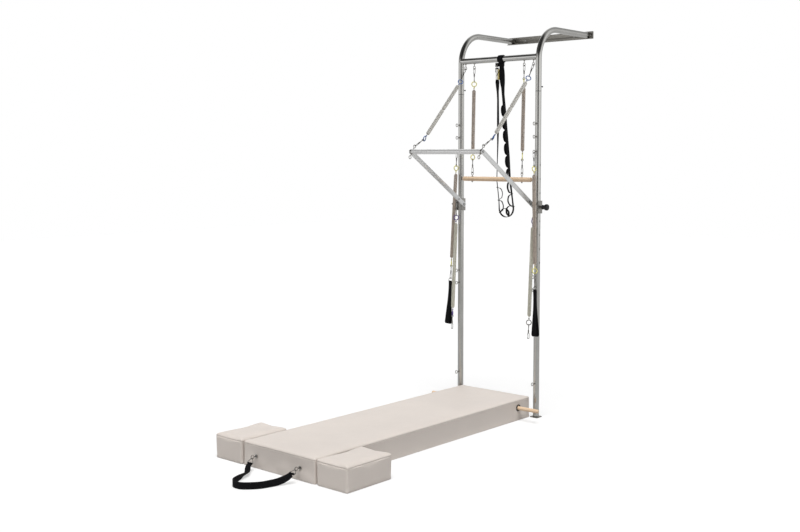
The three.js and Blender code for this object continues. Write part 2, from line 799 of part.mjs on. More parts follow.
// The link rests on the lower edge of the tab's hole and carries the strap's tail by its own lower end.
function safetyLink() {
  const upperHole = crossbarHeight - clearRadius(tubeRadius + seatGap, tubeSides)
    - wrapThickness / 2 - tabDrop / 2;
  const play = (linkHole - linkWire) / 2 - seatGap;
  const half = linkDepth / 2;
  const corner = half * linkCornerShare;
  const upper = upperHole - play;
  const lower = upperHole - linkHoleGap + play;
  const places = [
    [corner, upper], [half, upper - corner], [half, lower + corner], [corner, lower],
    [-corner, lower], [-half, lower + corner], [-half, upper - corner], [-corner, upper],
  ].map(([y, z]) => new THREE.Vector3(0, tabSetBack + y, z));
  return sweep(places, wireOutline(linkWire), xAxis, true);
}

// One level of a cushion: a rounded rectangle whose sides pull in between its corners.
function cushionLevel(width, length, inset, drawIn, z) {
  const halfX = width / 2 - inset;
  const halfY = length / 2 - inset;
  const points = [];
  const quarters = [[1, -1, -1], [1, 1, 0], [-1, 1, 1], [-1, -1, 2]];
  for (const [sx, sy, start] of quarters) {
    for (const share of cornerShares) {
      const angle = (start + share) * Math.PI / 2;
      const x = sx * (halfX - matEdge) + matEdge * Math.cos(angle);
      const y = sy * (halfY - matEdge) + matEdge * Math.sin(angle);
      points.push(new THREE.Vector3(x, y, z));
    }
    const along = sx === sy;
    for (const step of sideShares) {
      const share = step * (along ? sx : sy);
      const pull = drawIn * (1 - share * share);
      const x = along ? share * halfX : sx * (halfX - pull);
      const y = along ? sy * (halfY - pull) : share * halfY;
      points.push(new THREE.Vector3(x, y, z));
    }
  }
  return points;
}

function cushion(width, length) {
  const crownInset = Math.min(width, length) * matCrownShare;
  const edgeTop = matHeight - matCrown;
  const levels = [
    [matEdge, 0, 0], [0, 0, matEdge / 2], [0, matDrawIn, matHeight / 2], [0, 0, edgeTop - matEdge],
    [matEdge / 2, 0, edgeTop], [matCrownStart, 0, matHeight - matCrown / 2], [crownInset, 0, matHeight],
  ];
  return ringSolid(levels.map(([inset, drawIn, z]) => cushionLevel(width, length, inset, drawIn, z)));
}

function matCentre() {
  const middle = (matFarFace + matNearFace) / 2;
  const bore = clearRadius(matBarDiameter / 2 + boreGap, boreSides);
  const sleeve = rodX(bore, -matWidth, matWidth, boreSides);
  sleeve.translate(0, matFarFace - matBarInset, matBarHeight);
  const boltBore = clearRadius(eyeWire / 2 + seatGap, smallSides);
  const boltHoles = sides.map(({ sign }) => (
    rodY(boltBore, matNearFace - cutOverrun, matNearFace + footEyeShank + seatGap, smallSides)
      .translate(sign * footEyeSpread / 2, 0, footEyeHeight)
  ));
  return cut(cushion(matWidth, matLength).translate(0, middle, 0), sleeve, ...boltHoles);
}

// A triangular ring that hangs -Z from an eye at the origin, its base along X.
function deltaRing() {
  const half = deltaWidth / 2;
  const apex = eyeRadius - eyeWire / 2 - deltaWire / 2 - linkGap;
  const side = (sign) => deltaShares.map(([across, down]) => (
    new THREE.Vector3(sign * half * across, 0, -apex - (deltaLength - apex) * down)
  ));
  const places = [new THREE.Vector3(0, 0, -apex), ...side(-1), ...side(1).reverse()];
  return sweep(places, wireOutline(deltaWire), yAxis, true);
}

// The strap leaves each triangular ring flat, then stands on its edge along the floor.
function footStrap() {
  const pull = footPullAngle * deg;
  const eyeY = matNearFace - eyeReach;
  const endY = eyeY - deltaLength * Math.cos(pull);
  const endZ = footEyeHeight - deltaLength * Math.sin(pull);
  const floorZ = footWebWidth / 2 + footWebFloorGap;
  const half = footEyeSpread / 2;
  const front = footStrapFront + webThickness / 2;
  const reach = endY - front;
  const rise = endZ - floorZ;
  const routeShares = [
    [-1, 0.017, 0.93, 1, 0], [-0.95, 0.13, 0.45, 1, 0.6], [-0.84, 0.3, 0.1, 0.4, 1], [-0.7, 0.47, 0, 0, 1],
    [-0.61, 0.66, 0, 0, 1], [-0.56, 0.83, 0, 0, 1], [-0.46, 0.95, 0, 0, 1], [-0.28, 1, 0, 0, 1],
    [0, 1, 0, 0, 1], [0.3, 1, 0, 0, 1], [0.6, 0.92, 0, 0, 1], [0.83, 0.73, 0, 0, 1],
    [0.95, 0.5, 0, 0, 1], [0.99, 0.3, 0.1, 0.4, 1], [1, 0.13, 0.45, 1, 0.6], [1, 0.017, 0.93, 1, 0],
  ];
  const marks = routeShares.map(([x, y, z]) => (
    new THREE.Vector3(x * half, endY - y * reach, floorZ + z * rise)
  ));
  const route = new THREE.CatmullRomCurve3(marks);
  const widthMarks = routeShares.map(([, , , x, z]) => new THREE.Vector3(x, 0, z));
  const widthRoute = new THREE.CatmullRomCurve3(widthMarks);
  const places = Array.from({ length: footStrapSteps + 1 }, (_, i) => route.getPoint(i / footStrapSteps));
  const widths = places.map((_, i) => widthRoute.getPoint(i / footStrapSteps).setY(0).normalize());
  const band = sweep(places, stripOutline(webThickness, footWebWidth), widths);
  const sleeveBore = clearRadius(deltaWire / 2 + seatGap, smallSides);
  const sleeves = [];
  const bores = [];
  for (const { sign } of sides) {
    const sleeve = rodX(sleeveBore + webThickness, -footSleeveWidth / 2, footSleeveWidth / 2, smallSides);
    sleeves.push(sleeve.translate(sign * half, endY, endZ));
    bores.push(rodX(sleeveBore, -footWebWidth, footWebWidth, smallSides).translate(sign * half, endY, endZ));
  }
  return cut(fuse(band, ...sleeves), ...bores);
}

// Tower
for (const { tag, sign } of sides) {
  addPart(`upright_${tag}`, upright(sign), steel);
  addPart(`gooseneck_${tag}`, gooseneck(sign), steel);
  addPart(`foot_plate_${tag}`, footPlate(), darkSteel, frameAt(sign * uprightPlace, 0, 0));
}
addPart('crossbar', crossbar(), steel);
addPart('wall_bracket', wallBracket(), darkSteel);

// Slide brackets and the push-through bar
const armOffset = tubeRadius + slideGap + bracketWall + seatGap + armThickness / 2;
const armPlace = uprightPlace - armOffset;
const pushFrame = frameAt(0, 0, pivotHeight);
pushFrame.rotation.x = -armAngle * deg;
for (const { tag, sign } of sides) {
  const bracketFrame = frameAt(sign * uprightPlace, 0, pivotHeight);
  addPart(`slide_bracket_${tag}`, slideBracket(sign), darkSteel, bracketFrame);
  addPart(`pivot_bolt_${tag}`, pivotBolt(sign), steel, bracketFrame);
  addPart(`plunger_${tag}`, plunger(sign), sign > 0 ? blackPlastic : steel, bracketFrame);
  addPart(`push_arm_${tag}`, pushArm(), aluminium, frameAt(sign * armPlace, 0, 0, pushFrame));
}
const pushBarReach = armPlace - armThickness / 2 - seatGap;
addPart('push_bar', pushBar(pushBarReach), aluminium, frameAt(0, -armLength, 0, pushFrame));

// Push-through springs: snap, spring and snap each take their own slope between the two eyes
const armTurn = armAngle * deg;
const barEyeY = -armLength * Math.cos(armTurn) + barEyeReach * Math.sin(armTurn);
const barEyeZ = pivotHeight + armLength * Math.sin(armTurn) + barEyeReach * Math.cos(armTurn);
const upperRingY = -linkSpan * Math.sin(pushUpperAngle * deg);
const upperRingZ = crossEyeHeight - linkSpan * Math.cos(pushUpperAngle * deg);
const lowerRingY = barEyeY + linkSpan * Math.sin(pushLowerAngle * deg);
const lowerRingZ = barEyeZ + linkSpan * Math.cos(pushLowerAngle * deg);
const pushSpan = Math.hypot(lowerRingY - upperRingY, lowerRingZ - upperRingZ);
const pushLean = Math.atan2(upperRingY - lowerRingY, upperRingZ - lowerRingZ);
for (const { tag, sign } of sides) {
  const place = sign * pushEyePlace;
  const upper = frameAt(place, 0, crossEyeHeight);
  upper.rotation.x = -pushUpperAngle * deg;
  addPart(`push_snap_upper_${tag}`, snapHook(), steel, upper);
  const coil = frameAt(place, upperRingY, upperRingZ);
  coil.rotation.x = -pushLean;
  addPart(`push_spring_${tag}`, tensionSpring(pushSpan, shortSpringCurls), springSteel, coil);
  const lower = frameAt(place, barEyeY, barEyeZ);
  lower.rotation.x = Math.PI - pushLowerAngle * deg;
  addPart(`push_snap_lower_${tag}`, snapHook(), steel, lower);
}

// Roll-down set
const rollFrame = frameAt(0, 0, crossEyeHeight);
rollFrame.rotation.x = -rollLeanAngle * deg;
const rollEyeDrop = 2 * linkSpan + rollSpan;
const rollBarSide = armThickness / 2 + seatGap + pivotHeadLength + rollBarSideGap;
const rollBarReach = uprightPlace - armOffset - rollBarSide;
const rollBarDrop = rollEyeDrop + rollEyeReach + rollBarDiameter / 2;
addPart('roll_down_bar', rollBar(rollBarReach, rollBarDrop), beech, rollFrame);
for (const { tag, sign } of sides) {
  const place = sign * rollEyePlace;
  addPart(`roll_snap_upper_${tag}`, snapHook(), steel, frameAt(place, 0, 0, rollFrame));
  const coil = frameAt(place, 0, -linkSpan, rollFrame);
  addPart(`roll_spring_${tag}`, tensionSpring(rollSpan, shortSpringCurls), springSteel, coil);
  const lower = frameAt(place, 0, -rollEyeDrop, rollFrame);
  addPart(`roll_eye_${tag}`, rollEye(), steel, lower);
  const turnedOver = frameAt(0, 0, 0, lower);
  turnedOver.rotation.x = Math.PI;
  addPart(`roll_snap_lower_${tag}`, snapHook(), steel, turnedOver);
}

// Arm springs with hand loops, and leg springs, from the eye bolts on the uprights
const longSetEnd = 2 * linkSpan + longSpan;
for (const { tag, sign, forwardAngle } of sides) {
  const arm = frameAt(sign * uprightPlace, -uprightEyeDepth, armEyeHeight);
  arm.rotation.set(-forwardAngle * deg, -sign * armLean * deg, 0);
  const leg = frameAt(sign * uprightPlace, -uprightEyeDepth, legEyeHeight);
  leg.rotation.x = -legLeanAngle * deg;
  for (const [name, frame, turned] of [['arm', arm, true], ['leg', leg, false]]) {
    addPart(`${name}_snap_upper_${tag}`, snapHook(), steel, frame);
    const coil = frameAt(0, 0, -linkSpan, frame);
    addPart(`${name}_spring_${tag}`, tensionSpring(longSpan, longSpringCurls), springSteel, coil);
    const lower = frameAt(0, 0, -longSetEnd, frame);
    lower.rotation.x = Math.PI;
    addPart(`${name}_snap_lower_${tag}`, snapHook(turned), steel, lower);
  }
  const drop = handRingDrop(longSpan);
  addPart(`hand_ring_${tag}`, handRing().translate(0, 0, -drop), steel, arm);
  addPart(`hand_loop_${tag}`, handLoop(drop), webbing, arm);
}

// Safety strap
addPart('safety_strap', safetyStrap(), webbing);
addPart('safety_strap_link', safetyLink(), steel);

// Mat, its through bar and the side blocks
addPart('mat_centre', matCentre(), vinyl);
const matBar = rodX(matBarDiameter / 2, -matWidth / 2 - matBarReach, matWidth / 2 + matBarReach, tubeSides);
const matBarRest = matBarHeight - boreGap + seatGap;
addPart('mat_bar', matBar, beech, frameAt(0, matFarFace - matBarInset, matBarRest));
for (const { tag, sign } of sides) {
  const place = sign * (matWidth / 2 + blockGap + blockWidth / 2);
  const block = frameAt(place, matNearFace + blockLength / 2, 0);
  addPart(`mat_block_${tag}`, cushion(blockWidth, blockLength), vinyl, block);
}

// Foot strap
for (const { tag, sign } of sides) {
  const place = sign * footEyeSpread / 2;
  const bolt = eyeBolt(eyeReach, footEyeShank).rotateX(Math.PI / 2);
  addPart(`foot_eye_${tag}`, bolt, steel, frameAt(place, matNearFace, footEyeHeight));
  const ring = frameAt(place, matNearFace - eyeReach, footEyeHeight);
  ring.rotation.x = -(90 - footPullAngle) * deg;
  addPart(`foot_ring_${tag}`, deltaRing(), steel, ring);
}
addPart('foot_strap', footStrap(), webbing);

export default unit;
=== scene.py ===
"""Pilates tower unit: a wall-braced tube tower with springs, push-through bar, roll-down bar, hand loops
and safety strap, beside a floor mat with two side blocks and a foot strap.

Metres; +Z up, +Y towards the wall."""

import math

import bmesh
import bpy
from mathutils import Matrix, Vector
from mathutils.bvhtree import BVHTree


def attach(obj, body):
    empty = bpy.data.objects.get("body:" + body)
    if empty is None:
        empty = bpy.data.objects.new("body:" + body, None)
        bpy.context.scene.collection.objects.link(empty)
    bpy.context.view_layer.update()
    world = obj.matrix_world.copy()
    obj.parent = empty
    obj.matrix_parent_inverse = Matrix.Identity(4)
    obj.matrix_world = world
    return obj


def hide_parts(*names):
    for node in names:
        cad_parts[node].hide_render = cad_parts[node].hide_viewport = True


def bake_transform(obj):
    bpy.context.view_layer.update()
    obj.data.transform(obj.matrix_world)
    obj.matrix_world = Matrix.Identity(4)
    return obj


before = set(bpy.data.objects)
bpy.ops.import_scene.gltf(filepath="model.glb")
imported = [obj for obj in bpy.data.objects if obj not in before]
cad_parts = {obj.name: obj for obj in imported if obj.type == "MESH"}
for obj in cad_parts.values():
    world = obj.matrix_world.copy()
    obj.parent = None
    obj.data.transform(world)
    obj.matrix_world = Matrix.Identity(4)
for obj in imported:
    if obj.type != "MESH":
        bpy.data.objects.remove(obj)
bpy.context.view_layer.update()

MM = 0.001
SIDES = (("left", -1), ("right", 1))
X, Y, Z = Vector((1, 0, 0)), Vector((0, 1, 0)), Vector((0, 0, 1))
HALF_TURN = math.pi
QUARTER_TURN = math.pi / 2

# Clearances
SEAT_GAP = 0.3 * MM
LINK_GAP = 0.5 * MM
SLIDE_GAP = 0.6 * MM
PASS_GAP = 0.8 * MM
BORE_GAP = 1.5 * MM
WELD_REACH = 0.02 * MM

# Tower frame
TOWER_Y = 801 * MM
TUBE_PLACE = 310 * MM
TUBE_RADIUS = 19 * MM
TUBE_WALL = 2.5 * MM
CROSSBAR_HEIGHT = 2280 * MM
SLEEVE_HEIGHT = 2065 * MM
NECK_HEIGHT = 2460 * MM
NECK_BEND_RADIUS = 195 * MM
WALL_REACH = 568 * MM
BRACKET_PLATE = (700 * MM, 49 * MM, 5 * MM)
BRACKET_FLANGE = (14 * MM, 3 * MM)
BRACKET_BOTTOM = NECK_HEIGHT - TUBE_RADIUS - 4 * MM
SCREW_PLACES = (-326 * MM, -200 * MM, 200 * MM, 326 * MM)
FOOT_PLATE = (57 * MM, 5 * MM)
FOOT_PLATE_CORNER = 6 * MM
FOOT_SCREW_INSET = 6.5 * MM
PLATE_CORNER = 4 * MM
LEDGE_CORNER = 3 * MM
PLATE_EASE = 0.8 * MM
FOOT_WELD = 1.9 * MM
NECK_WELD = 1.7 * MM
CROSSBAR_WELD = 1.6 * MM
LEDGE_WELD = 1.6 * MM
HOUSING_WELD = 1.2 * MM
FOOT_SCREW_SHARE = 0.52
WALL_SCREW_HOLE = 8 * MM
LINER_END = 5 * MM
JOINT_RING_STEP = 0.3 * MM
JOINT_RING_DROP = 1.4 * MM
JOINT_RING_RISE = 1.6 * MM
NECK_EASE = 0.6 * MM
LOCK_HEIGHT = 2092 * MM
LOCK_ANGLE = math.radians(34)

# Eye bolts
EYE_RADIUS = 9.75 * MM
EYE_WIRE = 4.5 * MM
EYE_REACH = 25 * MM
EYE_FLARE = 2 * MM
EYE_FLARE_SHARE = 1.35
PUSH_EYE_PLACE = 272 * MM
ROLL_EYE_PLACE = 200 * MM
ARM_EYE_HEIGHT = 1687 * MM
LEG_EYE_HEIGHT = 1360 * MM
EYE_HEIGHTS = (1862 * MM, 1780 * MM, ARM_EYE_HEIGHT, LEG_EYE_HEIGHT, 900 * MM, 818 * MM, 217 * MM)
CROSS_EYE_HEIGHT = CROSSBAR_HEIGHT - TUBE_RADIUS - EYE_REACH
TUBE_EYE_Y = TOWER_Y - TUBE_RADIUS - EYE_REACH

# Slide brackets, plungers and pivots
PIVOT_HEIGHT = 1340 * MM
HOLE_PITCH = 88 * MM
HOLE_STEPS = range(-4, 4)
HOLE_RADIUS = 4.5 * MM
BRACKET_WALL = 3 * MM
BRACKET_HEIGHT = 80 * MM
BRACKET_LIP = 22 * MM
BRACKET_ROUNDS = (1 * MM, 2 * MM, 5 * MM)
BRACKET_EASE = 0.5 * MM
HOUSING_RADIUS = 9 * MM
HOUSING_LENGTH = 12 * MM
PLUNGER_PIN = 8 * MM
KNOB_RADIUS = 20 * MM
KNOB_LENGTH = 45 * MM
PULL_PIN_RADIUS = 7.5 * MM
PULL_PIN_LENGTH = 40 * MM
PIVOT_HEAD_RADIUS = 9.5 * MM
PIVOT_HEAD_LENGTH = 7.5 * MM

# Push-through bar
ARM_LENGTH = 632 * MM
ARM_ANGLE = math.radians(33)
ARM_WIDTH = 30 * MM
ARM_THICKNESS = 6 * MM
ARM_EASE = 0.7 * MM
PUSH_BAR_RADIUS = 15 * MM
SECOND_BOLT_PLACE = 65 * MM
END_BOLT = (8 * MM, 5 * MM)
SECOND_BOLT = (6.5 * MM, 3.6 * MM)
BAR_PLUG_LENGTH = 9 * MM
PUSH_UPPER_ANGLE = math.radians(31)
PUSH_LOWER_ANGLE = math.radians(62)

# Snap hooks
SNAP_WIRE = 4 * MM
HOOK_RADIUS = 6.5 * MM
HOOK_LENGTH = 42 * MM
SNAP_BARREL = 9 * MM
SNAP_NECK = 5 * MM
SWIVEL_RADIUS = 6.2 * MM
LINK_SPAN = 107 * MM
GATE_RADIUS = 1.35 * MM
GATE_SLEEVE_RADIUS = 2.2 * MM
STUD_REACH = 3.6 * MM
STUD_RADII = (0.8 * MM, 0.8 * MM, 1.5 * MM)

# Springs
SPRING_RADIUS = 10.75 * MM
SPRING_SWELL = 1.45 * MM
SPRING_WIRE = 2.3 * MM
SPRING_RING_RADIUS = 15.5 * MM
SPRING_RING_WIRE = 5 * MM
DIP = 0.45 * MM
SPRING_RING_TO_BODY = 37 * MM
SPRING_SHOULDER = 9 * MM
COLLAR_RADIUS = 3.6 * MM
COLLAR_WIRE = 2.2 * MM
COLLAR_PITCH = 2.2 * MM
COLLAR_DROP = 6 * MM
ROLL_SPRING_BODY = 403 * MM
LONG_SPRING_BODY = 563 * MM
ROLL_LEAN = math.radians(1.4)
LEG_LEAN = math.radians(3.2)
ARM_FORWARD = {"left": 0, "right": math.radians(3.5)}

# Roll-down bar
ROLL_BAR_RADIUS = 15 * MM
ROLL_BAR_REACH = 272.8 * MM
ROLL_BAR_EASE = 4 * MM
ROLL_EYE_REACH = 19 * MM
ROLL_WASHER_RADIUS = 7.2 * MM
ROLL_WASHER_SINK = 0.9 * MM
ROLL_NUT_RADIUS = 5.5 * MM
ROLL_NUT_LENGTH = 5 * MM

# Hand loops
HAND_RING_RADIUS = 15 * MM
HAND_RING_WIRE = 4 * MM
HAND_RING_BASE = 9 * MM
LOOP_LENGTH = 285 * MM
LOOP_TOP_WIDTH = 23 * MM
LOOP_BOTTOM_WIDTH = 37 * MM
LOOP_SPREAD = 34 * MM
WEB_THICKNESS = 3 * MM
LOOP_JOINT = 44 * MM
LOOP_SEAM_SHARES = (0.72, 0.86, 1, 1.14)
LOOP_SEAM_REACH = 9 * MM
LOOP_EDGE = 3 * MM

# Rows of thread: pitch, stitch and thickness
LOOP_SEAM_THREAD = (2.6 * MM, 2.1 * MM, 0.9 * MM)
LOOP_EDGE_THREAD = (3.4 * MM, 2.6 * MM, 0.8 * MM)
STRAP_THREAD = (3 * MM, 2.4 * MM, 0.9 * MM)
FOOT_THREAD = (3.6 * MM, 2.7 * MM, 0.8 * MM)
MAT_THREAD = (5.2 * MM, 3.9 * MM, 0.9 * MM)

# Safety strap
WRAP_WIDTH = 38 * MM
WRAP_THICKNESS = 6 * MM
WRAP_OFFSET = 31 * MM
STRAP_DROP = 990 * MM
STRAP_SPREAD = 59 * MM
STRAP_WIDTH = 36 * MM
STRAP_THICKNESS = 3 * MM
STRAP_SET_BACK = 17 * MM
TAB_WIDTH = 24 * MM
TAB_DROP = 24 * MM
TAB_THICKNESS = 5 * MM
TAB_SET_BACK = 4 * MM
FIRST_LOOP_DROP = 268 * MM
LOOP_PITCH = 82 * MM
LOOP_WIDTH = 32 * MM
LOOP_BULGE = 38 * MM
LOOP_ROWS = (-5 * MM, -2.5 * MM, 0, 2.5 * MM, 5 * MM)
TAB_INSET = 2.6 * MM
GROMMET_WIDTH = 1.6 * MM
GROMMET_RADIUS = 1.3 * MM
LINK_HOLE_GAP = 31 * MM
LINK_DEPTH = 16 * MM
LINK_WIRE = 3.6 * MM
LINK_HOLE = 9 * MM
LABEL_LENGTH = 66 * MM
LABEL_WIDTH = 36 * MM
LABEL_PLACE = -3 * MM
LABEL_HEIGHT = 2216 * MM
LABEL_ANGLE = math.radians(30)
LABEL_TWIST = 0.05
LABEL_THICKNESS = 1.2 * MM

# Mat, side blocks and through bar
MAT_WIDTH = 560 * MM
MAT_LENGTH = 1870 * MM
MAT_HEIGHT = 136 * MM
MAT_FAR_Y = TOWER_Y - 20 * MM
MAT_NEAR_Y = MAT_FAR_Y - MAT_LENGTH
MAT_EDGE = 12 * MM
MAT_CROWN = 3 * MM
MAT_DRAW_IN = 2.4 * MM
MAT_CELL = 20 * MM
SEAM_DROP = 12 * MM
SEAM_DEPTH = 2.2 * MM
SEAM_SPREAD = 2.4 * MM
SEAM_WIDTH = 1.9 * MM
CORNER_SEAM_WIDTH = 2.6 * MM
STITCH_DROP = 4.4 * MM
STITCH_LIFT = 0.15 * MM
STITCH_STEP = 12 * MM
MAT_BORE = 15.6 * MM
BORE_RING_RADIUS = 2.6 * MM
BORE_RING_STEP = 2.2 * MM
BORE_RING_RISE = 0.6 * MM
CLOTH_FRAMES = 20
CLOTH_CAP = 4 * MM
BLOCK_WIDTH = 220 * MM
BLOCK_LENGTH = 325 * MM
BLOCK_GAP = 9 * MM
MAT_BAR_RADIUS = 12 * MM
MAT_BAR_REACH = 150 * MM
MAT_BAR_Y = MAT_FAR_Y - 128 * MM
MAT_BAR_HEIGHT = 80.8 * MM

# Foot strap
FOOT_EYE_PLACE = 170 * MM
FOOT_EYE_HEIGHT = 68 * MM
FOOT_EYE_SHANK = 30 * MM
FOOT_STRAP_REACH = 285 * MM
FOOT_WEB_WIDTH = 37 * MM
FOOT_FLOOR_GAP = 0.5 * MM
FOOT_PULL = {"left": math.radians(60), "right": math.radians(30)}
DELTA_LENGTH = 34 * MM
DELTA_WIDTH = 45 * MM
DELTA_WIRE = 3.6 * MM
FOOT_SLEEVE_WIDTH = 33 * MM

# How the rings of each spring's two ends are turned on their swivels
RING_TURNS_IN_DEGREES = {
    "push_left": (-45, 20), "push_right": (-45, 35), "roll_left": (-48, -15), "roll_right": (35, 35),
    "arm_left": (-20, 35), "arm_right": (-10, -35), "leg_left": (-45, 30), "leg_right": (10, -48),
}
RING_TURNS = {key: tuple(map(math.radians, turns)) for key, turns in RING_TURNS_IN_DEGREES.items()}

# Light
SUN_STRENGTH = 2.55
SUN_SPREAD = math.radians(38)
SUN_TILT = (math.radians(16), math.radians(14))
AMBIENT = 0.24
FLOOR_GLOW = 0.5
FLOOR_REACH = 16
GLOSS_CEILING = 0.08
GLOSS_FAR_CEILING = 0.85

# Brightness that metal sees round the unit, by shares of a turn from -X through -Y, X and Y
GLOSS_SHARES = (
    (0, 0.5), (0.08, 0.6), (0.13, 1), (0.19, 0.95), (0.27, 0.55), (0.325, 0.14), (0.36, 0.05), (0.385, 0.14),
    (0.42, 1), (0.53, 1), (0.61, 1), (0.68, 0.5), (0.78, 0.4), (0.83, 0.85), (0.9, 0.9), (1, 0.5),
)

# Camera: place, angles, focal length and the picture's middle in pixels of its frame
CAMERA_PLACE = (4.1658, -4.7253, 1.6399)
CAMERA_AZIMUTH = math.radians(39.402)
CAMERA_PITCH = math.radians(3.885)
CAMERA_ROLL = math.radians(-0.140)
CAMERA_FOCAL = 1068.1
CAMERA_SENSOR = 36
CAMERA_REACH = 60
FRAME_WIDTH, FRAME_HEIGHT = 800, 532
MIDDLE_X, MIDDLE_Y = 453.5, 231.6

# Turned profiles: radius as a share of the head's, height as a share of the length
KNOB_SHARES = (
    (0, 0), (0.74, 0), (0.74, 0.16), (0.66, 0.3), (0.66, 0.46),
    (0.94, 0.56), (1, 0.68), (1, 0.88), (0.8, 0.98), (0, 1),
)
KNOB_SEAM_SHARES = ((0.62, 0.08), (0.93, 0.9))
PULL_PIN_SHARES = ((0, 0), (0.6, 0), (0.6, 0.6), (1, 0.65), (1, 0.95), (0.8, 1), (0, 1))

# Turned profiles of the small metal in millimetres: radius, then height
EYE_NUT_PROFILE = ((0, 1.2), (4.2, 1.2), (4.6, 1.7), (4.6, 4.2), (4.2, 4.7), (0, 4.7))
PAN_HEAD_PROFILE = ((0, 1), (5.6, 1), (5.6, 1.8), (5, 2.9), (3.6, 3.7), (1.6, 4.1), (1.5, 2.7), (0, 2.4))

# The top of a spring's stem: radius, then height from the foot of its ring
SPRING_STEM_PROFILE = ((2.5, -5), (3, -3), (3.4, 0), (2.6, 2), (0, 2.4))

# A snap hook's neck and the end of its barrel: radius as a share of theirs, then millimetres from their ends
SNAP_NECK_PROFILE = ((0, 0), (1.5, 0), (1.7, 1.2), (1.5, 2.4), (1, 3.2))
SNAP_BARREL_PROFILE = ((1, -2), (0.86, -0.6), (0.6, 0.8), (0, 1))

# The shank of the roll-down bar's eyes: radius, then height from its lower end and from the ring's foot
ROLL_EYE_FOOT = ((0, 0), (2.4, 0), (3, 0.8))
ROLL_EYE_NECK = ((3, -2), (3.4, 0), (0, 2))

# Washers and other discs: radius, bottom, top and eased rim
EYE_WASHER = (6.6 * MM, 0, 1.2 * MM, 0.4 * MM)
PAN_HEAD_WASHER = (7.4 * MM, 0, 1 * MM, 0.3 * MM)
FOOT_EYE_WASHER = (11 * MM, -1.6 * MM, 1.2 * MM, 0.4 * MM)

# Six-sided heads: the washer face's bottom, top and eased rim, its radius as a share of the head's
HEX_FACE = (0, 0.9 * MM, 0.3 * MM)
HEX_FACE_SHARE = 1.12
HEX_SEAT = 0.5 * MM
HEX_EASE = 0.6 * MM

# The lock screw of a neck outside the tube: radius, then height above the tube
LOCK_SCREW_PROFILE = ((0, -1), (2.6, -1), (2.6, 4), (4.8, 4.4), (4.8, 8.6), (4.2, 9.4), (0, 9.4))

# A hand ring's lower corner, out and down, and the weld on its base: millimetres across, share of its wire
HAND_CORNER_SHARES = ((1, 0.6), (0.9, 1), (0.54, 1))
HAND_WELD_PROFILE = ((-2.2, 0.9), (-1, 1.18), (1, 1.18), (2.2, 0.9))

# The nut of the strap's link: millimetres from its middle, share of its radius
LINK_NUT_PROFILE = ((-5, 0.86), (-4.2, 1), (4.2, 1), (5, 0.86))

# The sides of a hand loop between its ring and its bottom: half spread, then drop
HAND_LOOP_SHARES = ((0.22, 0.4), (0.7, 0.72))

# One half of a triangular ring: half width, then length; and how round its corners are, by its half width
DELTA_SHARES = ((0.2, 0.036), (1, 0.88), (0.93, 1))
DELTA_ROUND_SHARES = (0.16, 0.06, 0.06, 0.04, 0.04, 0.06, 0.06)

# The safety strap by its length: quarter turns, distance behind the crossbar, sideways by its spread
STRAP_ROUTE_SHARES = (
    (0, 1, 0, -0.17), (0.014, 1, 0.1, -0.2), (0.05, 1.55, 0.6, -0.36), (0.08, 2, 1, -0.44),
    (0.1, 2.1, 1, -0.46), (0.152, 2.07, 1, -0.42), (0.2, 2.06, 1, -0.41), (0.3, 2.05, 1, -0.36),
    (0.365, 2.17, 1, -0.36), (0.44, 2.28, 1, -0.19), (0.468, 2.25, 1, -0.14), (0.51, 2.2, 1, -0.1),
    (0.56, 2.32, 1, -0.07), (0.586, 2.36, 1, -0.12), (0.618, 2.36, 1, -0.27), (0.65, 2.36, 1, -0.42),
    (0.714, 2.36, 1, -0.36), (0.762, 2.3, 1, -0.31), (0.807, 2.22, 1, -0.3), (0.843, 2.18, 1, -0.29),
    (0.907, 2.23, 0.9, -0.29), (0.933, 2.2, 0.7, -0.29), (0.965, 1.92, 0.45, -0.29), (0.985, 2.3, 0.3, -0.3),
    (1, 2.9, 0.24, -0.3),
)
LOOP_BULGE_SHARES = (0.5, 0.5, 0.5, 0.5, 0.5, 0.55, 0.7, 0.95, 1, 1, 0.8, 0.9)
LOOP_SHAPE_SHARES = ((0.02, 0), (0.16, 0.7), (0.5, 1), (0.84, 0.7), (0.98, 0))

# The foot strap's route: half spread, reach from the rings, height; then how its width points along X and up
FOOT_ROUTE_SHARES = (
    (-1, -0.05, 0.6, 1, 0), (-0.93, 0.05, 0.2, 1, 0.1), (-0.8, 0.15, -0.2, 1, 0.25),
    (-0.62, 0.3, -0.25, 0.9, 0.5), (-0.46, 0.5, -0.1, 0.5, 1), (-0.33, 0.73, 0, 0.1, 1),
    (-0.2, 0.92, 0, 0, 1), (-0.05, 1, 0, 0, 1), (0.12, 1.02, 0, 0, 1), (0.3, 0.99, 0, 0, 1),
    (0.5, 0.87, 0, 0, 1), (0.69, 0.69, 0, 0, 1), (0.79, 0.46, 0, -0.15, 1), (0.86, 0.28, 0.1, -0.5, 1),
    (0.93, 0.11, 0.45, -1, 0.7), (1, 0.017, 0.93, -1, 0),
)

# The covers as cloth
CLOTH_SETTINGS = {
    "quality": 6, "mass": 0.4, "tension_stiffness": 28, "compression_stiffness": 28, "shear_stiffness": 12,
    "bending_stiffness": 2.2, "use_pressure": True, "uniform_pressure_force": 4, "shrink_min": -0.012,
}

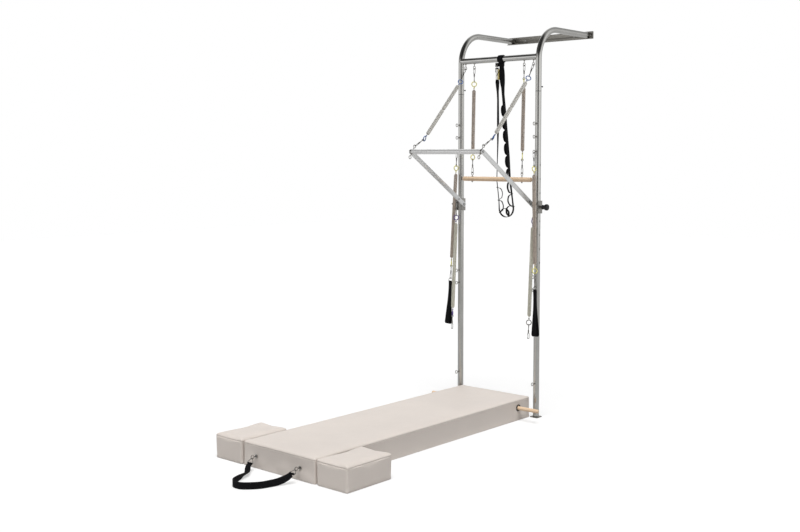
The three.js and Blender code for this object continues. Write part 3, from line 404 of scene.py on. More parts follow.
# Derived places
ARM_OFFSET = TUBE_RADIUS + SLIDE_GAP + BRACKET_WALL + SEAT_GAP + ARM_THICKNESS / 2
ARM_PLACE = TUBE_PLACE - ARM_OFFSET
EYE_SEAT = EYE_RADIUS - EYE_WIRE / 2 - SNAP_WIRE / 2 - LINK_GAP
SWIVEL_PLACE = LINK_SPAN - SPRING_RING_RADIUS + (SPRING_RING_WIRE + SNAP_WIRE) / 2 + LINK_GAP - SWIVEL_RADIUS
ROLL_SPAN = ROLL_SPRING_BODY + 2 * SPRING_RING_TO_BODY
LONG_SPAN = LONG_SPRING_BODY + 2 * SPRING_RING_TO_BODY
LONG_SET_END = 2 * LINK_SPAN + LONG_SPAN
ROLL_EYE_DROP = 2 * LINK_SPAN + ROLL_SPAN
ROLL_BAR_DROP = ROLL_EYE_DROP + ROLL_EYE_REACH + ROLL_BAR_RADIUS
ARM_LEAN_CLEAR = SPRING_RADIUS + HOOK_RADIUS + SNAP_WIRE / 2 + PASS_GAP
ARM_LEAN = math.atan2(ARM_LEAN_CLEAR, ARM_EYE_HEIGHT - LEG_EYE_HEIGHT)
BAR_EYE_REACH = PUSH_BAR_RADIUS + EYE_REACH


# Camera

def set_camera():
    across, along, level = math.cos(CAMERA_AZIMUTH), math.sin(CAMERA_AZIMUTH), math.cos(CAMERA_PITCH)
    right = Vector((across, along, 0))
    ahead = Vector((-along * level, across * level, -math.sin(CAMERA_PITCH)))
    above = right.cross(ahead)
    turned = Matrix((right, above, -ahead)).transposed().to_4x4() @ Matrix.Rotation(-CAMERA_ROLL, 4, "Z")
    data = bpy.data.cameras.new("camera")
    data.sensor_width = CAMERA_SENSOR
    data.lens = CAMERA_SENSOR * CAMERA_FOCAL / FRAME_WIDTH
    data.shift_x = (FRAME_WIDTH / 2 - MIDDLE_X) / FRAME_WIDTH
    data.shift_y = (MIDDLE_Y - FRAME_HEIGHT / 2) / FRAME_WIDTH
    data.clip_end = CAMERA_REACH
    camera = bpy.data.objects.new("camera", data)
    camera.matrix_world = Matrix.Translation(CAMERA_PLACE) @ turned
    bpy.context.scene.collection.objects.link(camera)
    bpy.context.scene.camera = camera


set_camera()


# Materials

class Finish:
    """A material's node tree, with the surface shader at its end."""

    def __init__(self, name, colour, roughness, metallic=0.0, **constants):
        self.material = bpy.data.materials.new(name)
        self.material.use_nodes = True
        self.tree = self.material.node_tree
        self.shader = self.tree.nodes["Principled BSDF"]
        self.set(self.shader, Base_Color=(*colour, 1), Roughness=roughness, Metallic=metallic, **constants)
        self.material.diffuse_color = (*colour, 1)

    def set(self, node, **values):
        for key, value in values.items():
            node.inputs[key.replace("_", " ")].default_value = value

    def add(self, kind, links=None, values=None, **settings):
        node = self.tree.nodes.new(kind)
        for key, value in settings.items():
            setattr(node, key, value)
        for key, value in (values or {}).items():
            node.inputs[key].default_value = value
        for key, socket in (links or {}).items():
            self.tree.links.new(socket, node.inputs[key])
        return node

    def place(self, scale=(1, 1, 1), turn=(0, 0, 0), source="Object"):
        """Coordinates on the piece, stretched and turned."""
        if source == "UV":
            origin = self.add("ShaderNodeUVMap", uv_map="run").outputs["UV"]
        else:
            origin = self.add("ShaderNodeTexCoord").outputs["Object"]
        mapping = self.add("ShaderNodeMapping", {"Vector": origin}, {"Scale": scale, "Rotation": turn})
        return mapping.outputs["Vector"]

    def noise(self, vector, scale, detail=3.0, roughness=0.55):
        values = {"Scale": scale, "Detail": detail, "Roughness": roughness}
        return self.add("ShaderNodeTexNoise", {"Vector": vector}, values).outputs["Fac"]

    def ramp(self, fac, stops):
        node = self.add("ShaderNodeValToRGB", {"Fac": fac})
        elements = node.color_ramp.elements
        while len(elements) < len(stops):
            elements.new(0.5)
        for element, (place, colour) in zip(elements, stops):
            element.position = place
            element.color = (*colour, 1) if isinstance(colour, tuple) else (colour, colour, colour, 1)
        return node.outputs["Color"]

    def spread(self, fac, low=0.0, high=1.0, start=0.3, end=0.7):
        values = {"From Min": start, "From Max": end, "To Min": low, "To Max": high}
        return self.add("ShaderNodeMapRange", {"Value": fac}, values).outputs["Result"]

    def math(self, operation, first, second):
        node = self.add("ShaderNodeMath", operation=operation)
        for index, value in enumerate((first, second)):
            if isinstance(value, (int, float)):
                node.inputs[index].default_value = value
            else:
                self.tree.links.new(value, node.inputs[index])
        return node.outputs[0]

    def blend(self, fac, first, second):
        node = self.add("ShaderNodeMix", data_type="RGBA")
        for key, value in ((0, fac), (6, first), (7, second)):
            if isinstance(value, tuple):
                node.inputs[key].default_value = (*value, 1)
            else:
                self.tree.links.new(value, node.inputs[key])
        return node.outputs[2]

    def join(self, socket, value):
        self.tree.links.new(value, self.shader.inputs[socket])

    def paint(self, fac, first, second):
        self.join("Base Color", self.blend(fac, first, second))

    def roughen(self, fac, low, high):
        self.join("Roughness", self.spread(fac, low, high))

    def bump(self, height, distance, strength, normal=None):
        links = {"Height": height}
        if normal is not None:
            links["Normal"] = normal
        values = {"Distance": distance, "Strength": strength}
        return self.add("ShaderNodeBump", links, values).outputs["Normal"]

    def emboss(self, *bump):
        self.join("Normal", self.bump(*bump))


def brushed_metal(name, light, dark, roughness, scale=(900, 900, 18), turn=(0, 0, 0), bump=0.02 * MM,
                  metallic=1):
    """Metal with fine polishing lines along one direction, faint clouding and a few rubbed places."""
    finish = Finish(name, light, roughness, metallic)
    lines = finish.noise(finish.place(scale, turn), 1.0, 4.0, 0.6)
    clouds = finish.noise(finish.place(), 9.0)
    rubs = finish.noise(finish.place(), 42.0, 5.0, 0.7)
    colour = finish.blend(finish.spread(clouds, 0.0, 0.55), light, dark)
    finish.paint(finish.spread(lines, 0.0, 0.22), colour, dark)
    fine = finish.spread(lines, roughness * 0.8, roughness * 1.25)
    finish.join("Roughness", finish.math("ADD", fine, finish.spread(rubs, 0.0, 0.05, 0.55, 0.8)))
    finish.emboss(lines, bump, 0.6)
    return finish.material


def cast_metal(name, light, dark, roughness, metallic=1.0):
    """Plated small metal: soft clouding, tiny pits and slightly duller hollows."""
    finish = Finish(name, light, roughness, metallic)
    clouds = finish.noise(finish.place(), 70.0, 4.0)
    pits = finish.noise(finish.place(), 900.0, 2.0)
    finish.paint(finish.spread(clouds), light, dark)
    finish.roughen(clouds, roughness * 0.75, roughness * 1.4)
    finish.emboss(pits, 0.03 * MM, 0.5)
    return finish.material


def dipped_plastic(name, light, dark):
    """A coloured plastic coat on a wire ring, a little uneven in thickness and rubbed dull in places."""
    finish = Finish(name, light, 0.34, 0.0, Coat_Weight=0.15, Coat_Roughness=0.2)
    runs = finish.noise(finish.place((1, 1, 0.4)), 160.0)
    finish.paint(finish.spread(runs), light, dark)
    finish.roughen(runs, 0.26, 0.46)
    finish.emboss(runs, 0.2 * MM, 0.5)
    return finish.material


def moulded_plastic():
    """Matt black plastic with a fine mould grain, worn a little paler in places."""
    finish = Finish("black_knob", (0.016, 0.016, 0.018), 0.42)
    grain = finish.noise(finish.place(), 1600.0, 2.0)
    wear = finish.noise(finish.place(), 60.0, 5.0, 0.7)
    finish.paint(finish.spread(wear, 0.0, 1.0, 0.55, 0.75), (0.014, 0.014, 0.016), (0.035, 0.035, 0.037))
    finish.roughen(wear, 0.36, 0.55)
    finish.emboss(grain, 0.06 * MM, 0.6)
    return finish.material


def beech_wood():
    """Pale beech along X: wavy growth bands, short dark flecks and fine pores under a thin matt lacquer."""
    finish = Finish("beech_wood", (0.95, 0.74, 0.54), 0.46, 0.0, Coat_Weight=0.1, Coat_Roughness=0.35)
    along = finish.place((0.9, 14, 14))
    bands = finish.noise(along, 5.5, 4.0, 0.6)
    rings = finish.add("ShaderNodeTexWave", {"Vector": finish.place((1.2, 30, 30))},
                       {"Scale": 1.6, "Distortion": 5.0, "Detail": 3.0, "Detail Scale": 1.5})
    flecks = finish.noise(finish.place((90, 1500, 1500)), 1.0, 2.0, 0.5)
    growth = ((0.3, (0.95, 0.73, 0.52)), (0.52, (0.89, 0.66, 0.45)), (0.72, (0.8, 0.57, 0.38)))
    base = finish.ramp(bands, growth)
    base = finish.blend(finish.spread(rings.outputs["Fac"], 0.0, 0.35, 0.0, 1.0), base, (0.86, 0.62, 0.42))
    finish.paint(finish.spread(flecks, 0.0, 0.5, 0.62, 0.75), base, (0.62, 0.42, 0.26))
    finish.roughen(flecks, 0.40, 0.58)
    finish.emboss(flecks, 0.12 * MM, 0.5)
    return finish.material


def woven_webbing():
    """Black nylon webbing: ribs on the band's own run and width, crossed by a twill, with painted shade in
    the weave's hollows and paler fuzz.
    """
    finish = Finish("black_webbing", (0.008, 0.008, 0.009), 0.8, 0.0, Specular_IOR_Level=0.15)
    run = finish.place(source="UV")
    values = {"Scale": 105.0, "Distortion": 0.4, "Detail": 1.0}
    ribs = finish.add("ShaderNodeTexWave", {"Vector": run}, values, wave_type="BANDS", bands_direction="X")
    picks = finish.add("ShaderNodeTexWave", {"Vector": run}, values, wave_type="BANDS", bands_direction="Y")
    twill = finish.add("ShaderNodeTexWave", {"Vector": run}, {"Scale": 70.0}, bands_direction="DIAGONAL")
    weave = finish.math("MULTIPLY", ribs.outputs["Fac"], picks.outputs["Fac"])
    height = finish.math("ADD", weave, finish.math("MULTIPLY", twill.outputs["Fac"], 0.6))
    fuzz = finish.noise(run, 700.0)
    ribbed = finish.spread(height, 0.0, 1.0, 0.2, 1.3)
    # painted shade: the weave's low parts are coloured darker than its raised ribs
    colour = finish.blend(ribbed, (0.003, 0.003, 0.004), (0.012, 0.012, 0.013))
    finish.paint(finish.spread(fuzz, 0.0, 0.5, 0.5, 0.8), colour, (0.02, 0.02, 0.022))
    finish.roughen(fuzz, 0.62, 0.85)
    finish.emboss(height, 0.4 * MM, 0.8)
    return finish.material


def spun_thread(name, colour):
    """Sewing thread, with painted shade that darkens it between its twists."""
    finish = Finish(name, colour, 0.6, 0.0, Sheen_Weight=0.2)
    twist = finish.noise(finish.place(), 2600.0, 2.0)
    # painted shade between the twists: the thread's own colour darkened
    shade = tuple(part * 0.55 for part in colour)
    finish.paint(finish.spread(twist), colour, shade)
    finish.emboss(twist, 0.1 * MM, 0.6)
    return finish.material


def soft_vinyl():
    """Warm pale grey coated cloth with a fine leather grain, painted shade in the grain's grooves, slight
    clouding and scuffs from use.
    """
    finish = Finish("pale_vinyl", (0.80, 0.745, 0.68), 0.44, 0.0, Coat_Weight=0.06, Coat_Roughness=0.4)
    place = finish.place()
    cells = finish.add("ShaderNodeTexVoronoi", {"Vector": place}, {"Scale": 620.0, "Randomness": 1.0},
                       feature="DISTANCE_TO_EDGE")
    fine = finish.noise(place, 1400.0)
    clouds = finish.noise(place, 3.2, 4.0)
    scuffs = finish.noise(finish.place((3, 1, 2)), 26.0, 6.0, 0.72)
    colour = finish.blend(finish.spread(clouds), (0.82, 0.745, 0.685), (0.77, 0.70, 0.645))
    edges = cells.outputs["Distance"]
    # painted shade: darker colour in the grooves along the grain's cell edges
    colour = finish.blend(finish.spread(edges, 0.16, 0.0, 0.0, 0.08), colour, (0.55, 0.49, 0.44))
    finish.paint(finish.spread(scuffs, 0.0, 0.25, 0.6, 0.8), colour, (0.74, 0.69, 0.63))
    finish.roughen(scuffs, 0.40, 0.56)
    dome = finish.spread(edges, 0.0, 1.0, 0.0, 0.12)
    height = finish.math("ADD", dome, finish.math("MULTIPLY", fine, 0.4))
    swell = finish.bump(finish.noise(place, 11.0), 4 * MM, 0.25)
    finish.emboss(height, 0.18 * MM, 0.55, swell)
    return finish.material


def woven_label():
    """A small blank flag, white at its free side and yellow at the sewn one."""
    finish = Finish("blank_label", (0.86, 0.80, 0.52), 0.55)
    weave = finish.noise(finish.place((600, 600, 200)), 2.0, 2.0)
    across = finish.add("ShaderNodeSeparateXYZ", {0: finish.place()}).outputs["X"]
    fade = finish.spread(across, 0.0, 1.0, LABEL_PLACE - 6 * MM, LABEL_PLACE + 2 * MM)
    finish.paint(fade, (0.95, 0.94, 0.90), (0.80, 0.62, 0.12))
    finish.emboss(weave, 0.2 * MM, 0.5)
    return finish.material


def black_rubber():
    finish = Finish("black_rubber", (0.02, 0.02, 0.02), 0.7)
    grain = finish.noise(finish.place(), 900.0)
    finish.paint(finish.spread(grain), (0.014, 0.014, 0.014), (0.04, 0.04, 0.04))
    finish.emboss(grain, 0.1 * MM, 0.5)
    return finish.material


tube_steel = brushed_metal("satin_tube_steel", (0.64, 0.635, 0.61), (0.50, 0.495, 0.475), 0.17)
bar_steel = brushed_metal("satin_bar_steel", (0.68, 0.675, 0.655), (0.54, 0.535, 0.52), 0.17, (18, 900, 900))
plate_steel = brushed_metal("brushed_plate_steel", (0.36, 0.345, 0.315), (0.27, 0.26, 0.235), 0.34,
                            (20, 900, 700))
bracket_steel = cast_metal("bracket_steel", (0.50, 0.49, 0.46), (0.36, 0.35, 0.33), 0.33)
aluminium = brushed_metal("satin_aluminium", (0.90, 0.905, 0.90), (0.78, 0.785, 0.78), 0.42,
                          (700, 14, 700), (ARM_ANGLE, 0, 0), 0.03 * MM)
bar_aluminium = brushed_metal("satin_bar_aluminium", (0.96, 0.96, 0.955), (0.9, 0.9, 0.895), 0.3,
                              (14, 700, 700), metallic=0.55)
hook_metal = cast_metal("dark_nickel_plate", (0.42, 0.405, 0.38), (0.22, 0.21, 0.195), 0.2)
nickel = cast_metal("nickel_plate", (0.60, 0.58, 0.55), (0.40, 0.385, 0.36), 0.22)
zinc = cast_metal("zinc_screws", (0.70, 0.70, 0.69), (0.52, 0.52, 0.51), 0.26)
weld = cast_metal("weld_bead", (0.50, 0.48, 0.45), (0.30, 0.27, 0.24), 0.38)
spring_steel = cast_metal("taupe_spring_wire", (0.84, 0.74, 0.65), (0.66, 0.58, 0.51), 0.36, 0.75)
leg_wire = cast_metal("pale_spring_wire", (0.90, 0.885, 0.77), (0.76, 0.745, 0.64), 0.36, 0.45)
push_wire = cast_metal("bright_spring_wire", (0.97, 0.95, 0.90), (0.84, 0.82, 0.77), 0.26, 0.6)
yellow_dip = dipped_plastic("yellow_dip", (0.95, 0.90, 0.30), (0.85, 0.78, 0.16))
blue_dip = dipped_plastic("blue_dip", (0.10, 0.20, 0.48), (0.06, 0.12, 0.32))
purple_dip = dipped_plastic("purple_dip", (0.16, 0.10, 0.36), (0.10, 0.06, 0.24))
knob_plastic = moulded_plastic()
beech = beech_wood()
webbing = woven_webbing()
black_thread = spun_thread("charcoal_thread", (0.04, 0.04, 0.043))
pale_thread = spun_thread("pale_thread", (0.62, 0.56, 0.50))
vinyl = soft_vinyl()
label = woven_label()
rubber = black_rubber()


# Shaping

class Form:
    """Gathers the faces of one piece, each with its finish and its place along the cloth."""

    def __init__(self):
        self.points = []
        self.faces = []
        self.finishes = []
        self.runs = []

    def add(self, shape, finish=0, at=None):
        points, faces = shape[0], shape[1]
        runs = shape[2] if len(shape) > 2 else [None] * len(faces)
        first = len(self.points)
        self.points.extend(at @ point if at else point for point in points)
        self.faces.extend(tuple(first + corner for corner in face) for face in faces)
        self.finishes.extend([finish] * len(faces))
        self.runs.extend(runs)
        return self

    def mesh(self, name, materials, sharp=35):
        mesh = bpy.data.meshes.new(name)
        mesh.from_pydata([tuple(point) for point in self.points], [], self.faces)
        for material in materials:
            mesh.materials.append(material)
        mesh.polygons.foreach_set("material_index", self.finishes)
        mesh.polygons.foreach_set("use_smooth", [True] * len(self.faces))
        if any(run is not None for run in self.runs):
            layer = mesh.uv_layers.new(name="run")
            for polygon, run in zip(mesh.polygons, self.runs):
                for corner, loop in enumerate(polygon.loop_indices):
                    layer.data[loop].uv = run[corner] if run else (0, 0)
        mesh.update()
        mesh.set_sharp_from_angle(angle=math.radians(sharp))
        return mesh

    def piece(self, name, materials, slot, sharp=35):
        made = bpy.data.objects.new(name, self.mesh(name, materials, sharp))
        bpy.context.scene.collection.objects.link(made)
        return made


def dress(form, node, body, materials, slot, sharp=35):
    """The form becomes the piece that stands for a node and moves with a body."""
    piece = form.piece(f"{node}_fine", materials, slot, sharp)
    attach(piece, body)
    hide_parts(node)


def mesh_shape(mesh):
    return [vertex.co.copy() for vertex in mesh.vertices], [tuple(face.vertices) for face in mesh.polygons]


def evaluated(thing):
    """The shape that an object has with its modifiers, and the object and its data are then cleared away."""
    depsgraph = bpy.context.evaluated_depsgraph_get()
    mesh = bpy.data.meshes.new_from_object(thing.evaluated_get(depsgraph))
    shape = mesh_shape(mesh)
    bpy.data.objects.remove(thing)
    bpy.data.meshes.remove(mesh)
    return shape


def linked(name, data):
    thing = bpy.data.objects.new(name, data)
    bpy.context.scene.collection.objects.link(thing)
    return thing


def tangent_at(points, index, closed):
    count = len(points)
    before = points[(index - 1) % count] if closed else points[max(index - 1, 0)]
    after = points[(index + 1) % count] if closed else points[min(index + 1, count - 1)]
    return (after - before).normalized()


def path_frames(points, closed, up):
    tangents = [tangent_at(points, index, closed) for index in range(len(points))]
    rise = (up - tangents[0] * up.dot(tangents[0])).normalized()
    rises = [rise]
    for before, after in zip(tangents, tangents[1:]):
        rise = before.rotation_difference(after) @ rise
        rises.append((rise - after * rise.dot(after)).normalized())
    return tangents, rises


def strip(rings, closed):
    """Quads between rings of points that follow each other."""
    count = len(rings[0])
    faces = []
    for index in range(len(rings) if closed else len(rings) - 1):
        here, there = index * count, ((index + 1) % len(rings)) * count
        for side in range(count):
            turn = (side + 1) % count
            faces.append((here + side, here + turn, there + turn, there + side))
    if not closed:
        last = (len(rings) - 1) * count
        faces.append(tuple(reversed(range(count))))
        faces.append(tuple(range(last, last + count)))
    return [point for ring in rings for point in ring], faces


def circle(radius, steps, first=X, second=Z, centre=Vector()):
    ring = []
    for step in range(steps):
        angle = 2 * math.pi * step / steps
        ring.append(centre + first * (radius * math.cos(angle)) + second * (radius * math.sin(angle)))
    return ring


def level_ring(radius, steps, height):
    return circle(radius, steps, X, Y, Z * height)


def tube(points, radius, sides=16, closed=False, up=X):
    """A round bar along a path; its radius may change from point to point."""
    sizes = radius if isinstance(radius, (list, tuple)) else [radius] * len(points)
    rings = []
    for point, tangent, rise, size in zip(points, *path_frames(points, closed, up), sizes):
        rings.append([point + spoke * size for spoke in circle(1, sides, rise, tangent.cross(rise))])
    return strip(rings, closed)


def lathe(profile, sides=32):
    """A turned piece about Z from (radius, height) points; the first and the last are on the axis."""
    points, faces = [Z * profile[0][1]], []
    rings = profile[1:-1]
    for radius, height in rings:
        points.extend(level_ring(radius, sides, height))
    points.append(Z * profile[-1][1])
    last = len(points) - 1
    for side in range(sides):
        turn = (side + 1) % sides
        faces.append((0, 1 + turn, 1 + side))
        for ring in range(len(rings) - 1):
            here, there = 1 + ring * sides, 1 + (ring + 1) * sides
            faces.append((here + side, here + turn, there + turn, there + side))
        top = 1 + (len(rings) - 1) * sides
        faces.append((top + side, top + turn, last))
    return points, faces


def sized(profile, base=0):
    """A profile in millimetres, in metres from a base radius."""
    return [(across * MM, base + along * MM) for across, along in profile]


def rounded_profile(radius, low, high, ease):
    """A disc or rod profile with eased rims."""
    soft = ease * 0.3
    return [(0, low), (radius - ease, low), (radius - soft, low + soft), (radius, low + ease),
            (radius, high - ease), (radius - soft, high - soft), (radius - ease, high), (0, high)]


def band(points, widths, width, thickness, closed=False):
    """Webbing along a path: its width follows the width vectors, its long edges are rounded."""
    rings, places, along = [], [], 0.0
    for index, point in enumerate(points):
        tangent = tangent_at(points, index, closed)
        side = widths[index].cross(tangent).normalized()
        rise = tangent.cross(side)
        half = (width[index] if isinstance(width, (list, tuple)) else width) / 2
        t, r = thickness / 2, thickness * 0.3
        outline = [(-t, -half + r), (-t * 0.55, -half), (t * 0.55, -half), (t, -half + r), (t, 0),
                   (t, half - r), (t * 0.55, half), (-t * 0.55, half), (-t, half - r), (-t, 0)]
        rings.append([point + side * a + rise * b for a, b in outline])
        if index:
            along += (point - points[index - 1]).length
        places.append((along, [b for _, b in outline]))
    shape, faces = strip(rings, closed)
    length = along + (points[0] - points[-1]).length
    runs = []
    for face in faces:
        corners = [divmod(corner, len(rings[0])) for corner in face]
        stations = [station for station, _ in corners]
        wraps = closed and len(points) - 1 in stations
        runs.append([(length if wraps and not station else places[station][0], places[station][1][side])
                     for station, side in corners])
    return shape, faces, runs


def welded(points, faces):
    """The shape with its doubled points made one, without the slivers between them, and facing outwards."""
    joined = bmesh.new()
    corners = [joined.verts.new(point) for point in points]
    for face in faces:
        if len(set(face)) == len(face):
            joined.faces.new([corners[corner] for corner in face])
    bmesh.ops.remove_doubles(joined, verts=joined.verts, dist=WELD_REACH)
    bmesh.ops.recalc_face_normals(joined, faces=joined.faces)
    joined.verts.index_update()
    points = [vertex.co.copy() for vertex in joined.verts]
    faces = [tuple(vertex.index for vertex in face.verts) for face in joined.faces]
    joined.free()
    return points, faces


def plate(loops, depth, ease):
    """A flat plate in X and Y, from z = 0 up, with holes and eased edges."""
    data = bpy.data.curves.new("outline", "CURVE")
    data.dimensions = "2D"
    data.fill_mode = "BOTH"
    data.extrude = depth / 2 - ease
    data.bevel_depth = ease
    data.bevel_resolution = 1
    data.offset = -ease
    for loop in loops:
        spline = data.splines.new("POLY")
        spline.points.add(len(loop) - 1)
        for point, (x, y) in zip(spline.points, loop):
            point.co = (x, y, 0, 1)
        spline.use_cyclic_u = True
    thing = linked("outline", data)
    points, faces = evaluated(thing)
    bpy.data.curves.remove(data)
    return welded([point + Z * (depth / 2) for point in points], faces)


def round_rect(width, height, corner, steps=6):
    loop = []
    for sx, sy, turn in ((1, 1, 0), (-1, 1, 1), (-1, -1, 2), (1, -1, 3)):
        for step in range(steps + 1):
            angle = (turn + step / steps) * QUARTER_TURN
            loop.append((sx * (width / 2 - corner) + corner * math.cos(angle),
                         sy * (height / 2 - corner) + corner * math.sin(angle)))
    return loop


def round_hole(x, y, radius, steps=20):
    angles = [-2 * math.pi * step / steps for step in range(steps)]
    return [(x + radius * math.cos(angle), y + radius * math.sin(angle)) for angle in angles]


def moved(x, y, z):
    return Matrix.Translation((x, y, z))


def place_at(x, y, z, *turns):
    """A frame at a place, turned about X, then about Y in that turned frame, then about Z."""
    matrix = moved(x, y, z)
    for angle, axis in zip(turns, "XYZ"):
        matrix = matrix @ Matrix.Rotation(angle, 4, axis)
    return matrix


UPSIDE_DOWN = Matrix.Rotation(HALF_TURN, 4, "X")
Z_TO_X = Matrix.Rotation(QUARTER_TURN, 4, "Y")
Z_TO_MINUS_Y = Matrix.Rotation(QUARTER_TURN, 4, "X")


# Repeats

def new_tree(name, sizes, parts=()):
    """A tree with named inputs: its geometry, its sizes, any part that it repeats, and the material."""
    tree = bpy.data.node_groups.new(name, "GeometryNodeTree")
    inputs = [("Geometry", "Geometry"), *((size, "Float") for size in sizes)]
    inputs += [*((part, "Object") for part in parts), ("Material", "Material")]
    for socket, kind in inputs:
        tree.interface.new_socket(socket, in_out="INPUT", socket_type=f"NodeSocket{kind}")
    tree.interface.new_socket("Geometry", in_out="OUTPUT", socket_type="NodeSocketGeometry")
    return tree, tree.nodes.new("NodeGroupInput")


def finish_tree(tree, given, geometry):
    """Makes the repeats real, gives them their material and sends them out."""
    real = tree_node(tree, "GeometryNodeRealizeInstances", {"Geometry": geometry})
    dressed = tree_node(tree, "GeometryNodeSetMaterial", {
        "Geometry": real.outputs["Geometry"], "Material": given.outputs["Material"]})
    out = tree.nodes.new("NodeGroupOutput")
    tree.links.new(dressed.outputs["Geometry"], out.inputs["Geometry"])
    return tree


def tree_node(tree, kind, links=None, values=None, **settings):
    node = tree.nodes.new(kind)
    for key, value in settings.items():
        setattr(node, key, value)
    for key, value in (values or {}).items():
        node.inputs[key].default_value = value
    for key, socket in (links or {}).items():
        tree.links.new(socket, node.inputs[key])
    return node


def coil_tree():
    """A close-wound coil down -Z from the origin, drawn in at both ends."""
    sizes = ("Radius", "Length", "Turns", "Wire", "Shoulder", "End Radius Share")
    tree, given = new_tree("close_wound_coil", sizes)
    spiral = tree_node(tree, "GeometryNodeCurveSpiral", {
        "Rotations": given.outputs["Turns"], "Start Radius": given.outputs["Radius"],
        "End Radius": given.outputs["Radius"], "Height": given.outputs["Length"]}, {"Resolution": 14})
    along = tree_node(tree, "GeometryNodeSplineParameter").outputs["Factor"]
    back = tree_node(tree, "ShaderNodeMath", {1: along}, {0: 1.0}, operation="SUBTRACT").outputs[0]
    shoulder, end_share = given.outputs["Shoulder"], given.outputs["End Radius Share"]
    share = []
    for fac in (along, back):
        links = {"Value": fac, "From Max": shoulder, "To Min": end_share}
        node = tree_node(tree, "ShaderNodeMapRange", links, interpolation_type="SMOOTHSTEP")
        share.append(node.outputs["Result"])
    taper = tree_node(tree, "ShaderNodeMath", {0: share[0], 1: share[1]}, operation="MULTIPLY").outputs[0]
    scale = tree_node(tree, "ShaderNodeCombineXYZ", {"X": taper, "Y": taper}, {"Z": -1.0}).outputs[0]
    place = tree_node(tree, "GeometryNodeInputPosition").outputs[0]
    drawn = tree_node(tree, "ShaderNodeVectorMath", {0: place, 1: scale}, operation="MULTIPLY").outputs[0]
    wound = tree_node(tree, "GeometryNodeSetPosition", {
        "Geometry": spiral.outputs["Curve"], "Position": drawn})
    half = tree_node(tree, "ShaderNodeMath", {0: given.outputs["Wire"]}, {1: 0.5}, operation="MULTIPLY")
    section = tree_node(tree, "GeometryNodeCurvePrimitiveCircle", {"Radius": half.outputs[0]},
                        {"Resolution": 5})
    swept = tree_node(tree, "GeometryNodeCurveToMesh", {
        "Curve": wound.outputs["Geometry"], "Profile Curve": section.outputs["Curve"]}, {"Fill Caps": True})
    smooth = tree_node(tree, "GeometryNodeSetShadeSmooth", {"Geometry": swept.outputs["Mesh"]})
    return finish_tree(tree, given, smooth.outputs["Geometry"])


def stitch_tree():
    """Stitches of thread set out evenly along lines of edges."""
    tree, given = new_tree("row_of_stitches", ("Pitch", "Length", "Thread"))
    line = tree_node(tree, "GeometryNodeMeshToCurve", {"Mesh": given.outputs["Geometry"]})
    spaced = tree_node(tree, "GeometryNodeResampleCurve", {
        "Curve": line.outputs["Curve"], "Length": given.outputs["Pitch"]}, mode="LENGTH")
    tangent = tree_node(tree, "GeometryNodeInputTangent").outputs[0]
    turned = tree_node(tree, "FunctionNodeAlignRotationToVector", {"Vector": tangent}, axis="Z")
    scale = tree_node(tree, "ShaderNodeCombineXYZ", {
        "X": given.outputs["Thread"], "Y": given.outputs["Thread"], "Z": given.outputs["Length"]}).outputs[0]
    ball = tree_node(tree, "GeometryNodeMeshIcoSphere", None, {"Radius": 0.5, "Subdivisions": 1})
    laid = tree_node(tree, "GeometryNodeInstanceOnPoints", {
        "Points": spaced.outputs["Curve"], "Instance": ball.outputs["Mesh"],
        "Rotation": turned.outputs["Rotation"], "Scale": scale})
    return finish_tree(tree, given, laid.outputs["Instances"])


def repeat_tree():
    """One small part set out on each point, turned as the part is."""
    tree, given = new_tree("set_out_on_points", (), ("Part",))
    part = tree_node(tree, "GeometryNodeObjectInfo", {"Object": given.outputs["Part"]})
    laid = tree_node(tree, "GeometryNodeInstanceOnPoints", {
        "Points": given.outputs["Geometry"], "Instance": part.outputs["Geometry"]})
    return finish_tree(tree, given, laid.outputs["Instances"])


COIL = coil_tree()
STITCHES = stitch_tree()
REPEAT = repeat_tree()


def grown(tree, points, edges, values):
    """The shape that a tree makes from points and edges, with its named inputs set."""
    mesh = bpy.data.meshes.new("seed")
    mesh.from_pydata([tuple(point) for point in points], edges, [])
    thing = bpy.data.objects.new("seed", mesh)
    modifier = thing.modifiers.new("grow", "NODES")
    modifier.node_group = tree
    keys = {item.name: item.identifier for item in tree.interface.items_tree if item.in_out == "INPUT"}
    for name, value in values.items():
        modifier[keys[name]] = value
    bpy.context.scene.collection.objects.link(thing)
    shape = evaluated(thing)
    bpy.data.meshes.remove(mesh)
    return shape


def set_out(shape, places, material):
    """A small part repeated at places, as one shape."""
    part = linked("part", Form().add(shape).mesh("part", [material]))
    data = part.data
    made = grown(REPEAT, places, [], {"Part": part, "Material": material})
    bpy.data.objects.remove(part)
    bpy.data.meshes.remove(data)
    return made


def stitched(lines, pitch, length, thread, material):
    """Rows of stitches along lists of points."""
    points, edges = [], []
    for line in lines:
        first = len(points)
        points.extend(line)
        edges.extend((index, index + 1) for index in range(first, len(points) - 1))
    values = {"Pitch": pitch, "Length": length, "Thread": thread, "Material": material}
    return grown(STITCHES, points, edges, values)


# Small metal parts

def eye_bolt(reach, sunk):
    """Stands up along Z from z = 0: turned ring, shank, washer and a flanged nut."""
    half = EYE_WIRE / 2
    neck = reach - EYE_RADIUS
    flare = half * EYE_FLARE_SHARE
    shank = [(0, -sunk), (half, -sunk), (half, neck - EYE_FLARE), (flare, neck), (0, neck + half)]
    form = Form().add(tube(circle(EYE_RADIUS, 28, Y, Z, Z * reach), half, 12, True))
    form.add(lathe(shank, 14))
    form.add(lathe(rounded_profile(*EYE_WASHER), 24))
    form.add(lathe(sized(EYE_NUT_PROFILE), 6))
    return form.points, form.faces


def pan_head_screw():
    """Stands up along Z from z = 0: a domed head with a small round recess, on a washer."""
    form = Form().add(lathe(rounded_profile(*PAN_HEAD_WASHER), 24)).add(lathe(sized(PAN_HEAD_PROFILE), 24))
    return form.points, form.faces


